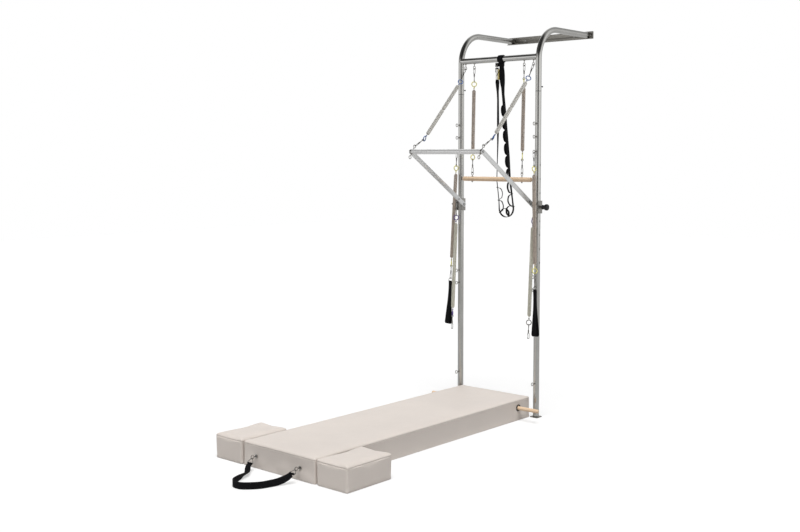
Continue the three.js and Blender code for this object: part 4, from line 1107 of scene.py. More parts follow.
def hex_head(radius, length):
    """A six-sided bolt head or nut up along Z from z = 0, with a washer face, a chamfered rim and a boss."""
    rim = length - HEX_EASE
    low = length - 0.2 * MM
    head = [(0, HEX_SEAT), (radius, HEX_SEAT), (radius, rim), (radius - HEX_EASE, length), (0, length)]
    boss = [(0, low), (radius * 0.62, low), (radius * 0.55, length + 0.4 * MM), (0, length + 0.5 * MM)]
    form = Form().add(lathe(rounded_profile(radius * HEX_FACE_SHARE, *HEX_FACE), 28))
    form.add(lathe(head, 6)).add(lathe(boss, 18))
    return form.points, form.faces


def hook_path():
    """The bent wire of a snap hook, from its barrel round the eye and down to its nose."""
    top = -EYE_SEAT - HOOK_RADIUS
    low = -HOOK_LENGTH
    points = [Z * low, Vector((HOOK_RADIUS * 0.5, 0, low + HOOK_RADIUS * 0.35)),
              Vector((HOOK_RADIUS * 0.92, 0, low + HOOK_RADIUS))]
    rise = top - (low + HOOK_RADIUS)
    for share in (0.25, 0.5, 0.75):
        points.append(Vector((HOOK_RADIUS * (0.92 + 0.08 * share), 0, low + HOOK_RADIUS + rise * share)))
    for step in range(13):
        angle = math.pi * step / 12
        points.append(Vector((HOOK_RADIUS * math.cos(angle), 0, top + HOOK_RADIUS * math.sin(angle))))
    points.append(Vector((-HOOK_RADIUS, 0, top - rise * 0.12)))
    return points


def snap_hook(turned=False, swivel_turn=0.0):
    """Hangs down -Z from an eye at the origin: hook, sliding bolt with its thumb stud, barrel and swivel."""
    form = Form()
    low = -HOOK_LENGTH
    turn = Matrix.Rotation(QUARTER_TURN if turned else 0, 4, "Z")
    path = hook_path()
    gate_foot, gate_top = Vector((-HOOK_RADIUS * 0.72, 0, low + HOOK_RADIUS * 0.4)), path[-1]
    stud = gate_foot.lerp(gate_top, 0.34)
    reach = X * -STUD_REACH
    sleeve_foot = Vector((-HOOK_RADIUS * 0.45, 0, low - 1 * MM))
    bars = (
        (path, [SNAP_WIRE / 2] * (len(path) - 1) + [SNAP_WIRE * 0.36], 12),
        ([gate_foot, gate_top], GATE_RADIUS, 10),
        ([sleeve_foot, gate_foot.lerp(gate_top, 0.16)], GATE_SLEEVE_RADIUS, 12),
        ([stud, stud + reach * 0.7, stud + reach], STUD_RADII, 10),
    )
    for run, radius, sides in bars:
        form.add(tube(run, radius, sides, up=Y), at=turn)
    barrel, neck = SNAP_BARREL / 2, SNAP_NECK / 2
    neck_end = -SWIVEL_PLACE + SWIVEL_RADIUS
    run = low - neck_end
    profile = [(neck * share, neck_end + down * MM) for share, down in SNAP_NECK_PROFILE]
    widening = ((neck, 0.5), (barrel * 0.8, 0.62), (barrel, 0.68))
    profile += [(radius, neck_end + run * share) for radius, share in widening]
    profile += [(barrel * share, low + down * MM) for share, down in SNAP_BARREL_PROFILE]
    form.add(lathe(profile, 20))
    form.add(tube(level_ring(barrel, 20, neck_end + run * 0.84), 0.5 * MM, 6, True, up=Z))
    swivel = circle(SWIVEL_RADIUS, 24, centre=Z * -SWIVEL_PLACE)
    form.add(tube(swivel, SNAP_WIRE / 2, 12, True, up=Y), at=Matrix.Rotation(swivel_turn, 4, "Z"))
    return form.points, form.faces


def spring_end():
    """Ring, stem and wound collar at a spring's end: the ring's centre at the origin, the coil below."""
    ring = tube(circle(SPRING_RING_RADIUS, 36, Y, Z), SPRING_RING_WIRE / 2 + DIP, 12, True)
    top = -SPRING_RING_RADIUS
    foot = -SPRING_RING_TO_BODY - 2 * MM
    stem = lathe([(0, foot), (2.5 * MM, foot), *sized(SPRING_STEM_PROFILE, top)], 14)
    collar = []
    for step in range(3 * 12 + 1):
        angle = 2 * math.pi * step / 12
        height = top - COLLAR_DROP - step / 12 * COLLAR_PITCH
        collar.append(Vector((COLLAR_RADIUS * math.cos(angle), COLLAR_RADIUS * math.sin(angle), height)))
    return ring, stem, tube(collar, COLLAR_WIRE / 2, 6, up=Z)


def coil(length):
    """The wound wire from z = 0 down."""
    radius = SPRING_RADIUS + SPRING_SWELL - SPRING_WIRE / 2
    values = {"Radius": radius, "Length": length, "Turns": round(length / SPRING_WIRE * 0.97),
              "Wire": SPRING_WIRE, "Shoulder": SPRING_SHOULDER / length, "End Radius Share": 0.38,
              "Material": spring_steel}
    return grown(COIL, [Vector()], [], values)


def add_spring(node, at, span, finishes, turns):
    """A whole spring, baked into place: its coil, and a ring, stem and collar at each end."""
    ring, stem, collar = spring_end()
    form = Form().add(coil(span - 2 * SPRING_RING_TO_BODY), 0, at @ moved(0, 0, -SPRING_RING_TO_BODY))
    ends = (at, turns[0], 1), (at @ moved(0, 0, -span) @ UPSIDE_DOWN, -turns[1], len(finishes) - 1)
    for end, turn, finish in ends:
        form.add(ring, finish, end @ Matrix.Rotation(turn, 4, "Z"))
        form.add(stem, 0, end)
        form.add(collar, finish, end)
    made = form.piece(f"{node}_fine", finishes, "spring_steel", 50)
    start, end = (at @ (Z * -place) for place in (SPRING_RING_TO_BODY, span - SPRING_RING_TO_BODY))
    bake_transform(made)
    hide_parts(node)


def add_half_spring(node, half, at, span, turn):
    """One half of a push-through spring, which meets the other at its middle."""
    ring, stem, collar = spring_end()
    form = Form().add(coil(span / 2 - SPRING_RING_TO_BODY), 0, at @ moved(0, 0, -SPRING_RING_TO_BODY))
    form.add(ring, 1, at @ Matrix.Rotation(turn, 4, "Z"))
    form.add(stem, 0, at)
    form.add(collar, 1, at)
    made = form.piece(f"{node}_{half}_half", [push_wire, blue_dip], "spring_steel", 50)
    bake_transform(made)
    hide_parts(node)


# Fitting a shape to the object

def turned(shape, matrix):
    return [matrix @ point for point in shape[0]], shape[1]


def facing_x(sign):
    """Turns what stands up along Z to point along X or -X."""
    return Matrix.Rotation(sign * QUARTER_TURN, 4, "Y")


def pipe(outer, inner, heights, sides=40):
    """A straight upright pipe with rings of points at the heights."""
    rings = []
    for radius, levels in ((outer, heights), (inner, heights[::-1])):
        rings.extend(level_ring(radius, sides, level) for level in levels)
    return strip(rings, True)


def cut_away(shape, tools):
    """The shape with the tools' space taken out of it."""
    whole = linked("whole", Form().add(shape).mesh("whole", []))
    form = Form()
    for tool in tools:
        form.add(tool)
    cutter = linked("cutter", form.mesh("cutter", []))
    modifier = whole.modifiers.new("cut", "BOOLEAN")
    modifier.operation = "DIFFERENCE"
    modifier.solver = "EXACT"
    modifier.object = cutter
    made = evaluated(whole)
    data = cutter.data
    bpy.data.objects.remove(cutter)
    bpy.data.meshes.remove(data)
    return welded(*made)


def rounded_outline(corners, steps=6):
    """A closed outline from (x, y, rounding) corners."""
    loop = []
    count = len(corners)
    for index, (x, y, rounding) in enumerate(corners):
        here = Vector((x, y))
        if not rounding:
            loop.append((x, y))
            continue
        before = Vector(corners[index - 1][:2])
        after = Vector(corners[(index + 1) % count][:2])
        start = here + (before - here).normalized() * rounding
        end = here + (after - here).normalized() * rounding
        for step in range(steps + 1):
            share = step / steps
            loop.append(tuple(start.lerp(here, share).lerp(here.lerp(end, share), share)))
    return loop


def softened(profile, rounds=2):
    """A profile with its inner corners cut round; its two ends stay."""
    for _ in range(rounds):
        points = [profile[0]]
        for (a, b), (c, d) in zip(profile, profile[1:]):
            points.append((a * 0.75 + c * 0.25, b * 0.75 + d * 0.25))
            points.append((a * 0.25 + c * 0.75, b * 0.25 + d * 0.75))
        profile = points + [profile[-1]]
    return profile


def smooth_route(marks, steps, closed=False):
    """A smooth curve through the marks, with some steps between each two."""
    count = len(marks)
    route = []
    for index in range(count if closed else count - 1):
        if closed:
            a, b, c, d = (marks[(index + shift) % count] for shift in (-1, 0, 1, 2))
        else:
            b, c = marks[index], marks[index + 1]
            a = marks[index - 1] if index else b * 2 - c
            d = marks[index + 2] if index + 2 < count else c * 2 - b
        for step in range(steps):
            t = step / steps
            route.append((b * 2 + (c - a) * t + (a * 2 - b * 5 + c * 4 - d) * t ** 2
                          + (b * 3 - a - c * 3 + d) * t ** 3) / 2)
    if not closed:
        route.append(marks[-1])
    return route


def between(rows, share):
    """The value of a table's columns at a share between its rows."""
    following = next((index for index, row in enumerate(rows) if row[0] >= share), len(rows) - 1)
    following = max(following, 1)
    before, after = rows[following - 1], rows[following]
    part = (share - before[0]) / (after[0] - before[0])
    return [a + (b - a) * part for a, b in zip(before[1:], after[1:])]


def bead(route, radius, closed=True, ripple=0.16):
    """A weld bead along a route, rippled as it was laid."""
    sizes = [radius * (1 + ripple * math.sin(index * 2.1)) for index in range(len(route))]
    return tube(route, sizes, 8, closed, Vector((0.2, 0.3, 0.93)))


# Tower frame

def upright_holes(sign):
    """Short cutters for the row of holes down the outer side of the tube."""
    drill = turned(lathe(rounded_profile(HOLE_RADIUS, 0, TUBE_RADIUS * 1.5, 0.1 * MM), 20), facing_x(sign))
    return [turned(drill, moved(0, 0, PIVOT_HEIGHT + step * HOLE_PITCH)) for step in HOLE_STEPS]


def add_upright(tag, sign):
    bottom = FOOT_PLATE[1] + SEAT_GAP
    top = SLEEVE_HEIGHT - SEAT_GAP
    liner = TUBE_RADIUS - TUBE_WALL
    shell = pipe(TUBE_RADIUS, liner, (bottom, PIVOT_HEIGHT - 5 * HOLE_PITCH, PIVOT_HEIGHT, top))
    middle = place_at(sign * TUBE_PLACE, TOWER_Y, 0)
    form = Form().add(cut_away(shell, upright_holes(sign)), 0, middle)
    eye = turned(eye_bolt(EYE_REACH, TUBE_WALL), Z_TO_MINUS_Y)
    front = [Vector((sign * TUBE_PLACE, TOWER_Y - TUBE_RADIUS, height)) for height in EYE_HEIGHTS]
    form.add(set_out(eye, front, nickel), 1)
    foot = level_ring(TUBE_RADIUS + 0.6 * MM, 48, bottom + 1 * MM)
    form.add(bead(foot, FOOT_WELD), 2, middle)
    form.add(lathe(rounded_profile(liner * 0.9, bottom + LINER_END, top - LINER_END, 1 * MM), 24), 3, middle)
    low, high = top - JOINT_RING_DROP, top + JOINT_RING_RISE
    ring = rounded_profile(TUBE_RADIUS + JOINT_RING_STEP, low, high, JOINT_RING_STEP)
    form.add(lathe(ring, 40), 3, middle)
    dress(form, f"upright_{tag}", "tower", [tube_steel, nickel, weld, rubber], "tube_steel")


def neck_route(sign):
    straight = NECK_HEIGHT - NECK_BEND_RADIUS
    marks = [Z * SLEEVE_HEIGHT, Z * (SLEEVE_HEIGHT + 0.5 * MM), Z * straight]
    for step in range(1, 25):
        angle = step / 24 * QUARTER_TURN
        back, rise = NECK_BEND_RADIUS * (1 - math.cos(angle)), NECK_BEND_RADIUS * math.sin(angle)
        marks.append(Vector((0, back, straight + rise)))
    end = WALL_REACH - SEAT_GAP
    marks += [Vector((0, y, NECK_HEIGHT)) for y in (end - 0.5 * MM, end)]
    return [mark + Vector((sign * TUBE_PLACE, TOWER_Y, 0)) for mark in marks]


def add_neck(tag, sign):
    route = neck_route(sign)
    sizes = [TUBE_RADIUS - NECK_EASE, *[TUBE_RADIUS] * (len(route) - 2), TUBE_RADIUS - NECK_EASE]
    form = Form().add(tube(route, sizes, 40))
    lock = place_at(sign * TUBE_PLACE, TOWER_Y, LOCK_HEIGHT, 0, 0, LOCK_ANGLE) @ facing_x(1)
    form.add(lathe(sized(LOCK_SCREW_PROFILE, TUBE_RADIUS), 20), 1, lock)
    form.add(bead(circle(TUBE_RADIUS, 48, centre=route[-1] - Y * (0.8 * MM)), NECK_WELD), 2)
    dress(form, f"gooseneck_{tag}", "tower", [tube_steel, knob_plastic, weld], "tube_steel")


def crossbar_end(end, radius, steps=40):
    """The round of points where the crossbar meets the side of an upright."""
    ring = []
    for step in range(steps):
        turn = 2 * math.pi * step / steps
        y, z = radius * math.cos(turn), radius * math.sin(turn)
        reach = TUBE_PLACE - math.sqrt(max(TUBE_RADIUS ** 2 - y ** 2, 0))
        ring.append(Vector((end * reach, TOWER_Y + y, CROSSBAR_HEIGHT + z)))
    return ring


def add_crossbar():
    form = Form().add(strip([crossbar_end(-1, TUBE_RADIUS), crossbar_end(1, TUBE_RADIUS)], False))
    for _, sign in SIDES:
        form.add(bead(crossbar_end(sign, TUBE_RADIUS), CROSSBAR_WELD), 2)
    eye = turned(eye_bolt(EYE_REACH, TUBE_WALL), UPSIDE_DOWN)
    places = [Vector((x, TOWER_Y, CROSSBAR_HEIGHT - TUBE_RADIUS))
              for x in (-PUSH_EYE_PLACE, -ROLL_EYE_PLACE, ROLL_EYE_PLACE, PUSH_EYE_PLACE)]
    form.add(set_out(eye, places, nickel), 1)
    dress(form, "crossbar", "tower", [bar_steel, nickel, weld], "tube_steel")


def add_wall_bracket():
    length, height, wall = BRACKET_PLATE
    reach, flange_wall = BRACKET_FLANGE
    middle = BRACKET_BOTTOM + height / 2
    holes = [round_hole(x, 0, WALL_SCREW_HOLE / 2) for x in SCREW_PLACES]
    upright_plate = plate([round_rect(length, height, PLATE_CORNER)] + holes, wall, PLATE_EASE)
    form = Form().add(upright_plate, 0, place_at(0, TOWER_Y + WALL_REACH + wall, middle, QUARTER_TURN))
    ledge = plate([round_rect(length, reach + wall, LEDGE_CORNER)], flange_wall, PLATE_EASE)
    form.add(ledge, 0, place_at(0, TOWER_Y + WALL_REACH + (wall - reach) / 2, BRACKET_BOTTOM))
    ends = (-length / 2.02, length / 2.02)
    bend = [Vector((x, TOWER_Y + WALL_REACH, BRACKET_BOTTOM + flange_wall)) for x in ends]
    form.add(tube(bend, LEDGE_WELD, 12, up=Z))
    head = turned(pan_head_screw(), Z_TO_MINUS_Y)
    places = [Vector((x, TOWER_Y + WALL_REACH, middle)) for x in SCREW_PLACES]
    form.add(set_out(head, places, zinc), 1)
    dress(form, "wall_bracket", "tower", [plate_steel, zinc], "plate_steel")


def add_foot_plate(tag, sign):
    side, wall = FOOT_PLATE
    centre = Vector((sign * TUBE_PLACE, TOWER_Y, wall))
    square = plate([round_rect(side, side, FOOT_PLATE_CORNER)], wall, PLATE_EASE)
    form = Form().add(square, 0, moved(centre.x, centre.y, 0))
    reach = side / 2 - FOOT_SCREW_INSET
    corners = [centre + Vector((x * reach, y * reach, 0)) for x in (-1, 1) for y in (-1, 1)]
    form.add(set_out(turned(pan_head_screw(), Matrix.Scale(FOOT_SCREW_SHARE, 4)), corners, zinc), 1)
    dress(form, f"foot_plate_{tag}", "tower", [plate_steel, zinc], "plate_steel")


# Slide brackets, plungers and pivots

def add_slide_bracket(tag, sign):
    inner = TUBE_RADIUS + SLIDE_GAP
    outer = inner + BRACKET_WALL
    lip, fold, bend = BRACKET_ROUNDS
    outline = rounded_outline((
        (-outer, -BRACKET_LIP, lip), (-inner, -BRACKET_LIP, lip), (-inner, inner, fold),
        (inner, inner, fold), (inner, -BRACKET_LIP, lip), (outer, -BRACKET_LIP, lip),
        (outer, outer, bend), (-outer, outer, bend)))
    form = Form().add(plate([outline], BRACKET_HEIGHT, BRACKET_EASE), 0,
                      place_at(sign * TUBE_PLACE, TOWER_Y, PIVOT_HEIGHT - BRACKET_HEIGHT / 2))
    centre = place_at(sign * TUBE_PLACE, TOWER_Y, PIVOT_HEIGHT) @ facing_x(sign)
    start, step, end = inner + SEAT_GAP, outer + HOUSING_LENGTH * 0.5, outer + HOUSING_LENGTH
    narrow, tip = HOUSING_RADIUS * 0.86, HOUSING_RADIUS * 0.76
    barrel = [(0, start), (HOUSING_RADIUS, start), (HOUSING_RADIUS, step), (narrow, step + 0.6 * MM),
              (narrow, end - 1 * MM), (tip, end), (0, end)]
    form.add(lathe(barrel, 32), 1, centre)
    seat = level_ring(HOUSING_RADIUS + 0.5 * MM, 32, outer + 0.4 * MM)
    form.add(bead(seat, HOUSING_WELD), 2, centre)
    dress(form, f"slide_bracket_{tag}", "slide_brackets", [bracket_steel, nickel, weld], "plate_steel")


def add_pivot_bolt(tag, sign):
    near = TUBE_RADIUS + SLIDE_GAP + BRACKET_WALL + SEAT_GAP + ARM_THICKNESS + SEAT_GAP
    at = place_at(sign * (TUBE_PLACE - near), TOWER_Y, PIVOT_HEIGHT) @ facing_x(-sign)
    form = Form().add(hex_head(PIVOT_HEAD_RADIUS / HEX_FACE_SHARE, PIVOT_HEAD_LENGTH - HEX_SEAT), 0, at)
    shank = ARM_THICKNESS + BRACKET_WALL
    form.add(lathe(rounded_profile(PIVOT_HEAD_RADIUS * 0.5, -shank, 0.4 * MM, 0.3 * MM), 20), 0, at)
    dress(form, f"pivot_bolt_{tag}", "slide_brackets", [zinc], "hook_steel")


def add_plunger(tag, sign):
    base = TUBE_RADIUS + SLIDE_GAP + BRACKET_WALL + HOUSING_LENGTH + SEAT_GAP
    at = place_at(sign * TUBE_PLACE, TOWER_Y, PIVOT_HEIGHT) @ facing_x(sign)
    black = sign > 0
    radius, length = (KNOB_RADIUS, KNOB_LENGTH) if black else (PULL_PIN_RADIUS, PULL_PIN_LENGTH)
    shares = KNOB_SHARES if black else PULL_PIN_SHARES
    profile = softened([(across * radius, base + along * length) for across, along in shares], 3)
    form = Form().add(lathe(profile, 44), 0, at)
    pin = PLUNGER_PIN / 2
    form.add(lathe(rounded_profile(pin, TUBE_RADIUS * 0.8, base + 1 * MM, 0.6 * MM), 18), 1, at)
    if black:
        for across, along in KNOB_SEAM_SHARES:
            seam = level_ring(radius * across, 44, base + length * along)
            form.add(tube(seam, 0.4 * MM, 6, True, Z), 0, at)
    materials = [knob_plastic if black else nickel, nickel]
    dress(form, f"plunger_{tag}", f"plunger_{tag}", materials, "knob_plastic" if black else "hook_steel", 50)


# Push-through bar

PUSH_FRAME = place_at(0, TOWER_Y, PIVOT_HEIGHT, -ARM_ANGLE)


def add_push_arm(tag, sign):
    half = ARM_WIDTH / 2
    turns = [math.pi * step / 20 for step in range(21)]
    bend = [(half * math.cos(turn), half * math.sin(turn)) for turn in turns]
    outline = [(-y, z) for y, z in bend] + [(y, -ARM_LENGTH - z) for y, z in bend]
    arm = turned(plate([outline], ARM_THICKNESS, ARM_EASE), moved(-ARM_THICKNESS / 2, 0, 0) @ Z_TO_X)
    form = Form().add(arm, 0, PUSH_FRAME @ moved(sign * ARM_PLACE, 0, 0))
    inner_face, outer_face = (sign * (ARM_PLACE + side * ARM_THICKNESS / 2) for side in (-1, 1))
    bolts = ((END_BOLT, outer_face, ARM_LENGTH, sign), (SECOND_BOLT, inner_face, SECOND_BOLT_PLACE, -sign),
             (SECOND_BOLT, outer_face, SECOND_BOLT_PLACE, sign))
    for bolt, face, along, way in bolts:
        form.add(hex_head(*bolt), 1, PUSH_FRAME @ moved(face, -along, 0) @ facing_x(way))
    dress(form, f"push_arm_{tag}", "push_frame", [aluminium, zinc], "bar_aluminium")


def add_push_bar():
    reach = ARM_PLACE - ARM_THICKNESS / 2 - SEAT_GAP
    bar = lathe(rounded_profile(PUSH_BAR_RADIUS, -reach, reach, 0.9 * MM), 44)
    form = Form().add(turned(bar, Z_TO_X), 0, PUSH_FRAME @ moved(0, -ARM_LENGTH, 0))
    plug = lathe(rounded_profile(PUSH_BAR_RADIUS * 1.03, reach - BAR_PLUG_LENGTH, reach, 0.8 * MM), 44)
    for _, sign in SIDES:
        form.add(turned(plug, facing_x(sign)), 1, PUSH_FRAME @ moved(0, -ARM_LENGTH, 0))
        for turn, side in ((Matrix.Identity(4), 1), (UPSIDE_DOWN, -1)):
            place = moved(sign * PUSH_EYE_PLACE, -ARM_LENGTH, side * PUSH_BAR_RADIUS)
            form.add(eye_bolt(EYE_REACH, TUBE_WALL), 2, PUSH_FRAME @ place @ turn)
    dress(form, "push_bar", "push_frame", [bar_aluminium, bracket_steel, nickel], "bar_aluminium")


# Hooks and springs

def add_hook(name, body, at, turned_hook=False, swivel_turn=0.0):
    dress(Form().add(snap_hook(turned_hook, swivel_turn), 0, at), name, body, [hook_metal], "hook_steel", 45)


def add_push_springs():
    eye_y = -ARM_LENGTH * math.cos(ARM_ANGLE) + BAR_EYE_REACH * math.sin(ARM_ANGLE)
    eye_z = PIVOT_HEIGHT + ARM_LENGTH * math.sin(ARM_ANGLE) + BAR_EYE_REACH * math.cos(ARM_ANGLE)
    upper_y = -LINK_SPAN * math.sin(PUSH_UPPER_ANGLE)
    upper_z = CROSS_EYE_HEIGHT - LINK_SPAN * math.cos(PUSH_UPPER_ANGLE)
    lower_y = eye_y + LINK_SPAN * math.sin(PUSH_LOWER_ANGLE)
    lower_z = eye_z + LINK_SPAN * math.cos(PUSH_LOWER_ANGLE)
    span = math.hypot(lower_y - upper_y, lower_z - upper_z)
    lean = math.atan2(upper_y - lower_y, upper_z - lower_z)
    for tag, sign in SIDES:
        x = sign * PUSH_EYE_PLACE
        node = f"push_spring_{tag}"
        turns = RING_TURNS[f"push_{tag}"]
        top = place_at(x, TOWER_Y, CROSS_EYE_HEIGHT, -PUSH_UPPER_ANGLE)
        foot = place_at(x, TOWER_Y + eye_y, eye_z, HALF_TURN - PUSH_LOWER_ANGLE)
        add_hook(f"push_snap_upper_{tag}", "tower", top, swivel_turn=turns[0])
        add_hook(f"push_snap_lower_{tag}", "push_frame", foot, swivel_turn=-turns[1])
        upper = place_at(x, TOWER_Y + upper_y, upper_z, -lean)
        lower = upper @ moved(0, 0, -span) @ UPSIDE_DOWN
        add_half_spring(node, "upper", upper, span, turns[0])
        add_half_spring(node, "lower", lower, span, -turns[1])


ROLL_FRAME = place_at(0, TOWER_Y, CROSS_EYE_HEIGHT, -ROLL_LEAN)


def add_roll_set():
    for tag, sign in SIDES:
        top = ROLL_FRAME @ moved(sign * ROLL_EYE_PLACE, 0, 0)
        turns = RING_TURNS[f"roll_{tag}"]
        add_hook(f"roll_snap_upper_{tag}", "roll_springs", top, swivel_turn=turns[0])
        ring = top @ moved(0, 0, -LINK_SPAN)
        add_spring(f"roll_spring_{tag}", ring, ROLL_SPAN,
                   [spring_steel, yellow_dip], turns)
        low = top @ moved(0, 0, -ROLL_EYE_DROP)
        add_hook(f"roll_snap_lower_{tag}", "roll_bar", low @ UPSIDE_DOWN, swivel_turn=-turns[1])
        dress(Form().add(roll_eye(), 0, low), f"roll_eye_{tag}", "roll_bar", [nickel], "hook_steel", 45)
    ends = rounded_profile(ROLL_BAR_RADIUS, -ROLL_BAR_REACH, ROLL_BAR_REACH, ROLL_BAR_EASE)
    turned_bar = turned(lathe(softened(ends, 1), 40), Z_TO_X)
    bar = Form().add(turned_bar, 0, ROLL_FRAME @ moved(0, 0, -ROLL_BAR_DROP))
    dress(bar, "roll_down_bar", "roll_bar", [beech], "bar_wood", 45)


def roll_eye():
    """Its ring is at the origin; the shank goes down through the wooden bar to a washer and a nut."""
    form = Form().add(tube(circle(EYE_RADIUS, 28, Y, Z), EYE_WIRE / 2, 12, True))
    bar_top = -ROLL_EYE_REACH
    bar_bottom = bar_top - 2 * ROLL_BAR_RADIUS
    end = bar_bottom - ROLL_NUT_LENGTH - 3 * MM
    form.add(lathe(sized(ROLL_EYE_FOOT, end) + sized(ROLL_EYE_NECK, -EYE_RADIUS), 18))
    for low in (bar_top - 0.4 * MM, bar_bottom - ROLL_WASHER_SINK):
        form.add(lathe(rounded_profile(ROLL_WASHER_RADIUS, low, low + 1.3 * MM, 0.4 * MM), 26))
    nut = hex_head(ROLL_NUT_RADIUS, ROLL_NUT_LENGTH)
    form.add(turned(nut, moved(0, 0, bar_bottom - ROLL_WASHER_SINK) @ UPSIDE_DOWN))
    return form.points, form.faces


def add_leg_and_arm_springs():
    for tag, sign in SIDES:
        arm = place_at(sign * TUBE_PLACE, TUBE_EYE_Y, ARM_EYE_HEIGHT, -ARM_FORWARD[tag], -sign * ARM_LEAN)
        leg = place_at(sign * TUBE_PLACE, TUBE_EYE_Y, LEG_EYE_HEIGHT, -LEG_LEAN)
        arm_bodies = (f"arm_spring_set_{tag}", f"hand_set_{tag}")
        leg_bodies = (f"leg_spring_set_{tag}", f"leg_snap_{tag}")
        leg_finishes = [leg_wire, purple_dip] + ([nickel] if sign > 0 else [])
        sets = (("arm", arm, arm_bodies, [spring_steel, yellow_dip]), ("leg", leg, leg_bodies, leg_finishes))
        for kind, at, bodies, finishes in sets:
            turns = RING_TURNS[f"{kind}_{tag}"]
            add_hook(f"{kind}_snap_upper_{tag}", bodies[0], at, swivel_turn=turns[0])
            ring = at @ moved(0, 0, -LINK_SPAN)
            add_spring(f"{kind}_spring_{tag}", ring, LONG_SPAN, finishes, turns)
            lower = at @ moved(0, 0, -LONG_SET_END) @ UPSIDE_DOWN
            add_hook(f"{kind}_snap_lower_{tag}", bodies[1], lower, kind == "arm", -turns[1])
        add_hand_loop(tag, arm)


# Hand loops

def hand_ring():
    """A D-shaped ring with a straight base, and a small weld where its wire meets."""
    half = HAND_RING_WIRE / 2
    marks = circle(HAND_RING_RADIUS, 40)[:21]
    right = []
    for across, down in HAND_CORNER_SHARES:
        right.append(Vector((HAND_RING_RADIUS * across, 0, -HAND_RING_BASE * down)))
    left = [Vector((-mark.x, 0, mark.z)) for mark in right]
    marks += smooth_route([marks[-1], *left], 4)[1:]
    marks += smooth_route([*reversed(right), marks[0]], 4)[:-1]
    seam = [Vector((x * MM, 0, -HAND_RING_BASE)) for x, _ in HAND_WELD_PROFILE]
    form = Form().add(tube(marks, half, 12, True, Y))
    form.add(tube(seam, [half * share for _, share in HAND_WELD_PROFILE], 12, up=Y))
    return form.points, form.faces


def add_hand_loop(tag, at):
    hold = 2 * LINK_SPAN + LONG_SPAN - EYE_SEAT
    drop = hold - (SNAP_WIRE + HAND_RING_WIRE) / 2 - SEAT_GAP + HAND_RING_RADIUS
    ring = Form().add(hand_ring(), 0, at @ moved(0, 0, -drop))
    dress(ring, f"hand_ring_{tag}", f"hand_set_{tag}", [nickel], "hook_steel", 45)
    seat = -drop - HAND_RING_BASE
    gather = HAND_RING_WIRE / 2 + SLIDE_GAP + WEB_THICKNESS / 2
    half = LOOP_SPREAD / 2
    bottom = seat - LOOP_LENGTH
    marks = [Vector((0, gather * math.sin(turn), seat + gather * math.cos(turn)))
             for turn in (step * math.pi / 12 for step in range(-6, 7))]
    joint = Vector((0, WEB_THICKNESS * 0.65, seat - LOOP_JOINT))
    side = [Vector((0, half * across, seat - LOOP_LENGTH * down)) for across, down in HAND_LOOP_SHARES]
    down = [Vector((0, -half * math.sin(turn), bottom + half - half * math.cos(turn)))
            for turn in (step * math.pi / 16 for step in range(-7, 8))]
    marks += smooth_route([marks[-1], joint, *side, down[0]], 8)[1:-1] + down
    mirror = [Vector((0, -mark.y, mark.z)) for mark in (joint, *side)]
    marks += smooth_route([down[-1], *reversed(mirror), marks[0]], 8)[1:-1]
    widths = []
    for mark in marks:
        share = min(max((seat - mark.z) / LOOP_LENGTH, 0), 1)
        widths.append(LOOP_TOP_WIDTH + (LOOP_BOTTOM_WIDTH - LOOP_TOP_WIDTH) * share * share)
    form = Form().add(band(marks, [X] * len(marks), widths, WEB_THICKNESS, True), 0, at)
    lines = []
    for face in (-1, 1):
        for share in LOOP_SEAM_SHARES:
            y, z = face * (WEB_THICKNESS * 1.2), seat - LOOP_JOINT * share
            lines.append([Vector((x, y, z)) for x in (-LOOP_SEAM_REACH, 0, LOOP_SEAM_REACH)])
    form.add(stitched(lines, *LOOP_SEAM_THREAD, black_thread), 1, at)
    edge = []
    for side_sign in (-1, 1):
        run = [mark + X * (side_sign * (width / 2 - LOOP_EDGE)) for mark, width in zip(marks, widths)]
        for face in (-1, 1):
            lift = face * WEB_THICKNESS * 0.5
            line = [mark + tangent_at(run, index, True).cross(X) * lift for index, mark in enumerate(run)]
            edge.append(line + [line[0]])
    form.add(stitched(edge, *LOOP_EDGE_THREAD, black_thread), 1, at)
    dress(form, f"hand_loop_{tag}", f"hand_set_{tag}", [webbing, black_thread], "webbing", 45)


# Safety strap

WRAP_INNER = (TUBE_RADIUS + SEAT_GAP) / math.cos(math.pi / 16)
STRAP_TOP = CROSSBAR_HEIGHT - WRAP_INNER - WRAP_THICKNESS / 2
UPPER_HOLE = STRAP_TOP - TAB_DROP / 2
LOWER_HOLE = UPPER_HOLE - LINK_HOLE_GAP
STRAP_CENTRE = STRAP_TOP - STRAP_DROP + STRAP_SPREAD
LEG_REACH = 2 * STRAP_SPREAD - WRAP_OFFSET
LEG_RUN = math.hypot(LEG_REACH, STRAP_TOP - STRAP_CENTRE)
BEND_RUN = math.pi * STRAP_SPREAD
STRAP_RUN = LEG_RUN + BEND_RUN + LOWER_HOLE - LINK_HOLE - STRAP_CENTRE


def strap_place(run):
    """A point on the strap and its width's direction, by its length from the crossbar."""
    turn, back, sideways = between(STRAP_ROUTE_SHARES, min(run / STRAP_RUN, 1))
    angle = turn * QUARTER_TURN
    across = Vector((math.sin(angle), -math.cos(angle), 0))
    y = TOWER_Y + back * STRAP_SET_BACK
    if run < LEG_RUN:
        share = run / LEG_RUN
        x, z = WRAP_OFFSET + LEG_REACH * share, STRAP_TOP + (STRAP_CENTRE - STRAP_TOP) * share
    elif run < LEG_RUN + BEND_RUN:
        bend = (run - LEG_RUN) / STRAP_SPREAD
        x, z = STRAP_SPREAD * (1 + math.cos(bend)), STRAP_CENTRE - STRAP_SPREAD * math.sin(bend)
    else:
        x, z = 0, STRAP_CENTRE + run - LEG_RUN - BEND_RUN
    return Vector((x + sideways * STRAP_SPREAD, y, z)), across


